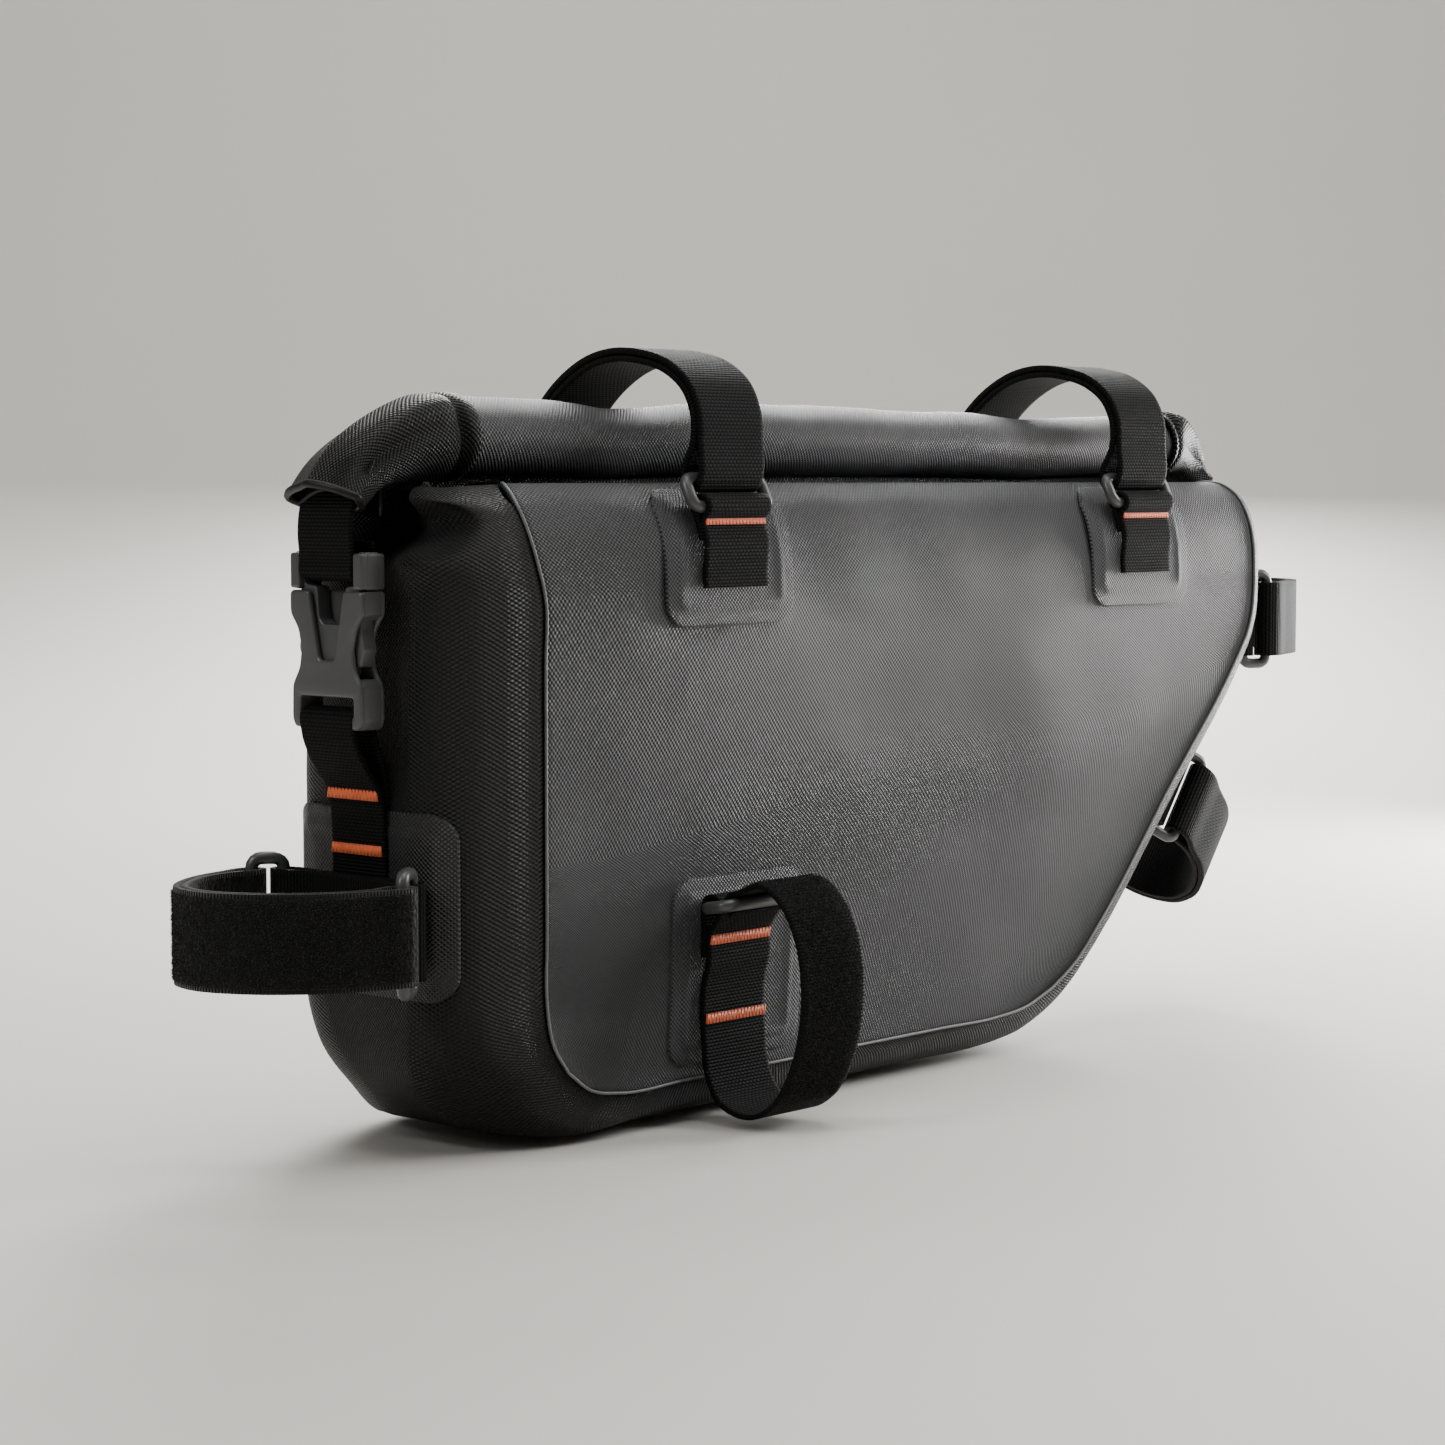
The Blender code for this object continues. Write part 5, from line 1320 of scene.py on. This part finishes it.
lower = [
    (-behind, 91.4 * MM),
    (-behind - 0.3 * MM, 96 * MM),
    (-behind - 2.6 * MM, 103 * MM),
    (-BUCKLE_OUT + wrap_out, slot_low - 3 * MM),
    (-BUCKLE_OUT + wrap_out, slot_low + 0.6 * MM),
    (-BUCKLE_OUT + wrap_out - 1 * MM, above),
    (-BUCKLE_OUT - wrap_out + 1 * MM, above),
    (-BUCKLE_OUT - wrap_out, slot_low + 0.6 * MM),
    (-BUCKLE_OUT - wrap_out, slot_low - 4 * MM),
    (-8.2 * MM, 100.5 * MM),
    (-4.3 * MM, 95 * MM),
    (-2.8 * MM, 91 * MM),
    (-lift, 86 * MM),
    (-lift, CLOSURE_LOW),
]
front = [
    (BODY_LENGTH - 11 * MM, 184.5 * MM),
    (BODY_LENGTH - 5.5 * MM, 181 * MM),
    (BODY_LENGTH - 1.5 * MM, 175.5 * MM),
    (BODY_LENGTH + 0.4 * MM, 169 * MM),
    (BODY_LENGTH + 2.1 * MM, 161 * MM),
    (BODY_LENGTH + lift, 151 * MM),
    (BODY_LENGTH + lift, FRONT_STRAP_LOW),
]
sideways = Vector((0, 1, 0))
for name, points in (("closure_strap_upper", upper), ("closure_strap_lower", lower), ("closure_strap_front", front)):
    path = [Vector((x, 0, z)) for x, z in points]
    band(f"{name}_web", path, sideways, CLOSURE_WEB, WEB_THICK, "black_webbing", [name])
for x, z, slope in ((-3.6 * MM, 93 * MM, -0.3), (-lift, 78.5 * MM, 0)):
    BARTACKS.append((Vector((x, 0, z)), Vector((slope, 0, 1)), sideways, Vector((-1, 0, 0)), CLOSURE_WEB))
print("bartacks:", len(BARTACKS))

# %% [markdown]
# ## Bartacks
# A bartack is a dense zigzag of thick thread that locks two layers of webbing. It repeats by rule, so
# Geometry Nodes lay one stitch at each point of a line, tilted to and fro, and the result becomes a mesh.


# %% The bartack's node tree
def bartack_tree():
    """Stitches side by side on a line across the webbing, as a geometry node group with named sizes."""
    tree = bpy.data.node_groups.new("bartack", "GeometryNodeTree")
    tree.interface.new_socket("Geometry", in_out="OUTPUT", socket_type="NodeSocketGeometry")
    for name in ("Width", "Height", "Thread"):
        tree.interface.new_socket(name, in_out="INPUT", socket_type="NodeSocketFloat")
    tree.interface.new_socket("Stitches", in_out="INPUT", socket_type="NodeSocketInt")
    tree.interface.new_socket("Material", in_out="INPUT", socket_type="NodeSocketMaterial")
    add = tree.nodes.new
    given, made = add("NodeGroupInput"), add("NodeGroupOutput")
    start, end = add("ShaderNodeCombineXYZ"), add("ShaderNodeCombineXYZ")
    negative, halved = add("ShaderNodeMath"), add("ShaderNodeMath")
    halved.operation, halved.inputs[1].default_value = "MULTIPLY", 0.5
    negative.operation, negative.inputs[1].default_value = "MULTIPLY", -0.5
    row, stitch = add("GeometryNodeMeshLine"), add("GeometryNodeMeshCylinder")
    row.mode = "END_POINTS"
    stitch.inputs["Vertices"].default_value = 6
    lay, index, even = add("GeometryNodeInstanceOnPoints"), add("GeometryNodeInputIndex"), add("ShaderNodeMath")
    even.operation, even.inputs[1].default_value = "MODULO", 2
    lean, tilt = add("ShaderNodeMath"), add("ShaderNodeCombineXYZ")
    lean.operation = "MULTIPLY_ADD"
    lean.inputs[1].default_value, lean.inputs[2].default_value = 0.30, -0.15
    turned, real, coat = add("GeometryNodeTransform"), add("GeometryNodeRealizeInstances"), add("GeometryNodeSetMaterial")
    turned.inputs["Rotation"].default_value = (math.pi / 2, 0, 0)
    link = tree.links.new
    link(given.outputs["Width"], halved.inputs[0])
    link(given.outputs["Width"], negative.inputs[0])
    link(negative.outputs[0], start.inputs["X"])
    link(halved.outputs[0], end.inputs["X"])
    link(start.outputs[0], row.inputs["Start Location"])
    link(end.outputs[0], row.inputs["Offset"])
    link(given.outputs["Stitches"], row.inputs["Count"])
    link(given.outputs["Thread"], stitch.inputs["Radius"])
    link(given.outputs["Height"], stitch.inputs["Depth"])
    link(stitch.outputs["Mesh"], turned.inputs["Geometry"])
    link(row.outputs["Mesh"], lay.inputs["Points"])
    link(turned.outputs["Geometry"], lay.inputs["Instance"])
    link(index.outputs[0], even.inputs[0])
    link(even.outputs[0], lean.inputs[0])
    link(lean.outputs[0], tilt.inputs["Z"])
    link(tilt.outputs[0], lay.inputs["Rotation"])
    link(lay.outputs["Instances"], real.inputs[0])
    link(real.outputs[0], coat.inputs["Geometry"])
    link(given.outputs["Material"], coat.inputs["Material"])
    link(coat.outputs[0], made.inputs[0])
    return tree


def run_tree(name, mesh, tree, values):
    """Runs a node group on a mesh with its inputs set by identifier, and returns the plain mesh."""
    holder = bpy.data.objects.new(name, mesh)
    bpy.context.scene.collection.objects.link(holder)
    nodes = holder.modifiers.new("nodes", "NODES")
    nodes.node_group = tree
    for item in tree.interface.items_tree:
        if item.item_type == "SOCKET" and item.in_out == "INPUT" and item.name in values:
            nodes[item.identifier] = values[item.name]
    bpy.context.view_layer.update()
    made = bpy.data.meshes.new_from_object(holder.evaluated_get(bpy.context.evaluated_depsgraph_get()))
    bpy.data.objects.remove(holder)
    return made


# %% Sew the bartacks
tack_tree = bartack_tree()
joined = bmesh.new()
for at, up, across, out, width in BARTACKS:
    values = {"Width": width - 1.6 * MM, "Height": 2.7 * MM, "Thread": 0.42 * MM, "Stitches": round(width / MM * 1.4)}
    values["Material"] = FINISHES["orange_thread"]
    mesh = run_tree("bartack", bpy.data.meshes.new("bartack"), tack_tree, values)
    x_axis = across.normalized()
    z_axis = (out - x_axis * out.dot(x_axis)).normalized()
    y_axis = (up - x_axis * up.dot(x_axis) - z_axis * up.dot(z_axis)).normalized()
    z_axis = x_axis.cross(y_axis) if x_axis.cross(y_axis).dot(out) > 0 else -x_axis.cross(y_axis)
    if x_axis.cross(y_axis).dot(z_axis) < 0:
        x_axis = -x_axis
    place = Matrix((x_axis, y_axis, z_axis)).transposed().to_4x4()
    place.translation = at + z_axis * (WEB_THICK / 2 + 0.15 * MM) - Vector((BASE_MIDDLE, 0, 0))
    mesh.transform(place)
    joined.from_mesh(mesh)
tacks = bpy.data.meshes.new("bartacks")
joined.to_mesh(tacks)
joined.free()
tacks.materials.clear()
tacks.shade_smooth()
dress("bartacks", tacks, "orange_thread")
print("stitches, faces:", len(tacks.polygons))

# %% [markdown]
# ## Pile
# The soft side of a hook-and-loop strap is a mat of fine loops. The mat itself is in the finish; along the
# face stand short bristles, scattered by Geometry Nodes with a fixed seed, so that the outline looks furry.


# %% The pile's node tree
def pile_tree():
    """Short blades scattered over a surface, leaning at random."""
    tree = bpy.data.node_groups.new("pile", "GeometryNodeTree")
    tree.interface.new_socket("Geometry", in_out="OUTPUT", socket_type="NodeSocketGeometry")
    tree.interface.new_socket("Geometry", in_out="INPUT", socket_type="NodeSocketGeometry")
    for name in ("Density", "Length", "Thickness"):
        tree.interface.new_socket(name, in_out="INPUT", socket_type="NodeSocketFloat")
    tree.interface.new_socket("Seed", in_out="INPUT", socket_type="NodeSocketInt")
    tree.interface.new_socket("Material", in_out="INPUT", socket_type="NodeSocketMaterial")
    add = tree.nodes.new
    given, made = add("NodeGroupInput"), add("NodeGroupOutput")
    scatter, blade, lay = add("GeometryNodeDistributePointsOnFaces"), add("GeometryNodeMeshCone"), add("GeometryNodeInstanceOnPoints")
    blade.inputs["Vertices"].default_value = 3
    lean, sizes = add("FunctionNodeRandomValue"), add("FunctionNodeRandomValue")
    lean.data_type = "FLOAT_VECTOR"
    lean.inputs["Min"].default_value, lean.inputs["Max"].default_value = (-0.9, -0.9, 0), (0.9, 0.9, 6.28)
    sizes.inputs[2].default_value, sizes.inputs[3].default_value = 0.5, 1.3
    turn = add("FunctionNodeRotateEuler")
    turn.space = "LOCAL"
    real, coat = add("GeometryNodeRealizeInstances"), add("GeometryNodeSetMaterial")
    link = tree.links.new
    link(given.outputs["Geometry"], scatter.inputs["Mesh"])
    link(given.outputs["Density"], scatter.inputs["Density"])
    link(given.outputs["Seed"], scatter.inputs["Seed"])
    link(given.outputs["Length"], blade.inputs["Depth"])
    link(given.outputs["Thickness"], blade.inputs["Radius Bottom"])
    link(scatter.outputs["Points"], lay.inputs["Points"])
    link(blade.outputs["Mesh"], lay.inputs["Instance"])
    link(scatter.outputs["Rotation"], turn.inputs["Rotation"])
    link(lean.outputs["Value"], turn.inputs["Rotate By"])
    link(turn.outputs["Rotation"], lay.inputs["Rotation"])
    link(sizes.outputs[1], lay.inputs["Scale"])
    link(lay.outputs["Instances"], real.inputs[0])
    link(real.outputs[0], coat.inputs["Geometry"])
    link(given.outputs["Material"], coat.inputs["Material"])
    link(coat.outputs[0], made.inputs[0])
    return tree


# %% Grow the pile
pile_nodes = pile_tree()
for number, (line, across, count) in enumerate(PILE_BANDS):
    line = line[:count]
    along = np.gradient(line, axis=0)
    normals = np.cross(np.tile(across, (len(line), 1)), along)
    normals /= np.linalg.norm(normals, axis=1, keepdims=True)
    middle = line.mean(0)
    outwards = np.sign(((line - middle) * normals).sum())
    shares = np.linspace(-0.455, 0.455, 5)
    skin = line + normals * outwards * (STRAP_THICK / 2 + 0.05 * MM)
    net = skin[:, None, :] + across[None, None, :] * (shares * WEB)[None, :, None]
    mesh = mesh_from_net(f"pile_skin_{number}", net, flip=outwards < 0)
    values = {"Density": 8.5e6, "Length": 0.8 * MM, "Thickness": 0.10 * MM, "Seed": 7 + number}
    values["Material"] = FINISHES["bristle"]
    grown = run_tree(f"pile_{number}", mesh, pile_nodes, values)
    grown.materials.clear()
    dress(f"pile_{number}", grown, "bristle")
    print("pile", number, "faces:", len(grown.polygons))

# %% [markdown]
# ## Floor, light and camera
# The bag stands on a pale floor that curves up behind it. A large soft light hangs above and in front, and a
# stronger one behind to the right draws the bright line along the slanted edge.


# %% Floor
def floor_sheet():
    """A floor that curves up into a backdrop, seen from the camera's side."""
    net = []
    rise = ((-2.5, 0), (-0.5, 0), (0.5, 0), (0.9, 0.01), (1.3, 0.08), (1.7, 0.27), (2, 0.6), (2.15, 1.1), (2.2, 2.8))
    ahead, beside = np.array((0.741, 0.672)), np.array((-0.672, 0.741))
    for distance, height in rise:
        net.append([(*(distance * ahead + s * beside), height) for s in (-4, -1.5, 0, 1.5, 4)])
    return fine(np.array(net, float) + (BASE_MIDDLE, 0, -0.0002), 6)


made, tree, shader = new_finish("studio_paper", (0.62, 0.598, 0.56), 0.75)
tree.links.new(tint(tree, cloudy(tree, 3.0), (0.60, 0.578, 0.543), (0.64, 0.618, 0.58)), shader.inputs["Base Color"])
sheet = bpy.data.objects.new("floor", mesh_from_net("floor", floor_sheet(), flip=True))
sheet.data.materials.append(FINISHES["studio_paper"])
bpy.context.scene.collection.objects.link(sheet)


# %% Lights and world
def soft_light(name, at, aim, width, height, power, colour):
    """An area light that faces a point."""
    light = bpy.data.lights.new(name, "AREA")
    light.shape = "RECTANGLE"
    light.size, light.size_y = width, height
    light.energy = power
    light.color = colour
    lamp = bpy.data.objects.new(name, light)
    lamp.location = at
    lamp.rotation_euler = (Vector(aim) - Vector(at)).to_track_quat("-Z", "Y").to_euler()
    bpy.context.scene.collection.objects.link(lamp)
    return lamp


world = bpy.data.worlds.new("studio")
world.use_nodes = True
world.node_tree.nodes["Background"].inputs["Color"].default_value = (0.80, 0.79, 0.77, 1)
world.node_tree.nodes["Background"].inputs["Strength"].default_value = 0.13
bpy.context.scene.world = world
soft_light("key", (0.66, -0.5, 0.48), (0.15, 0, 0.12), 0.4, 0.35, 5.8, (1, 0.99, 0.975))
soft_light("overhead", (0.15, -0.1, 1.3), (0.05, 0, 0), 1.6, 1.0, 15, (1, 0.985, 0.96))
soft_light("rim", (1.0, 0.75, 0.7), (0.12, 0, 0.1), 0.6, 0.9, 30, (1, 0.995, 0.99))
soft_light("edge_right", (0.82, -0.03, 0.13), (0.2, 0, 0.09), 0.25, 0.2, 8, (1, 1, 1))
soft_light("edge_left", (-1.1, 0.15, 0.9), (-0.12, 0, 0.15), 0.35, 0.6, 7, (1, 0.99, 0.98))
soft_light("backdrop_wash", (0.8, 0.75, 1.9), (1.5, 1.4, 0.5), 2.4, 0.5, 24, (1, 0.985, 0.96))

# %% Camera
camera = bpy.data.cameras.new("camera")
camera.lens, camera.sensor_width = 81.5, 36
viewer = bpy.data.objects.new("camera", camera)
viewer.location = (-566.8 * MM - BASE_MIDDLE, -639.7 * MM, 175 * MM)
pitch, heading = math.radians(4.28), math.radians(42.2)
sight = Vector((math.cos(heading) * math.cos(pitch), math.sin(heading) * math.cos(pitch), -math.sin(pitch)))
viewer.rotation_euler = sight.to_track_quat("-Z", "Y").to_euler()
bpy.context.scene.collection.objects.link(viewer)
bpy.context.scene.camera = viewer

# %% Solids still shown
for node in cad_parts.values():
    if not node.hide_render:
        print("still shown:", node.name)
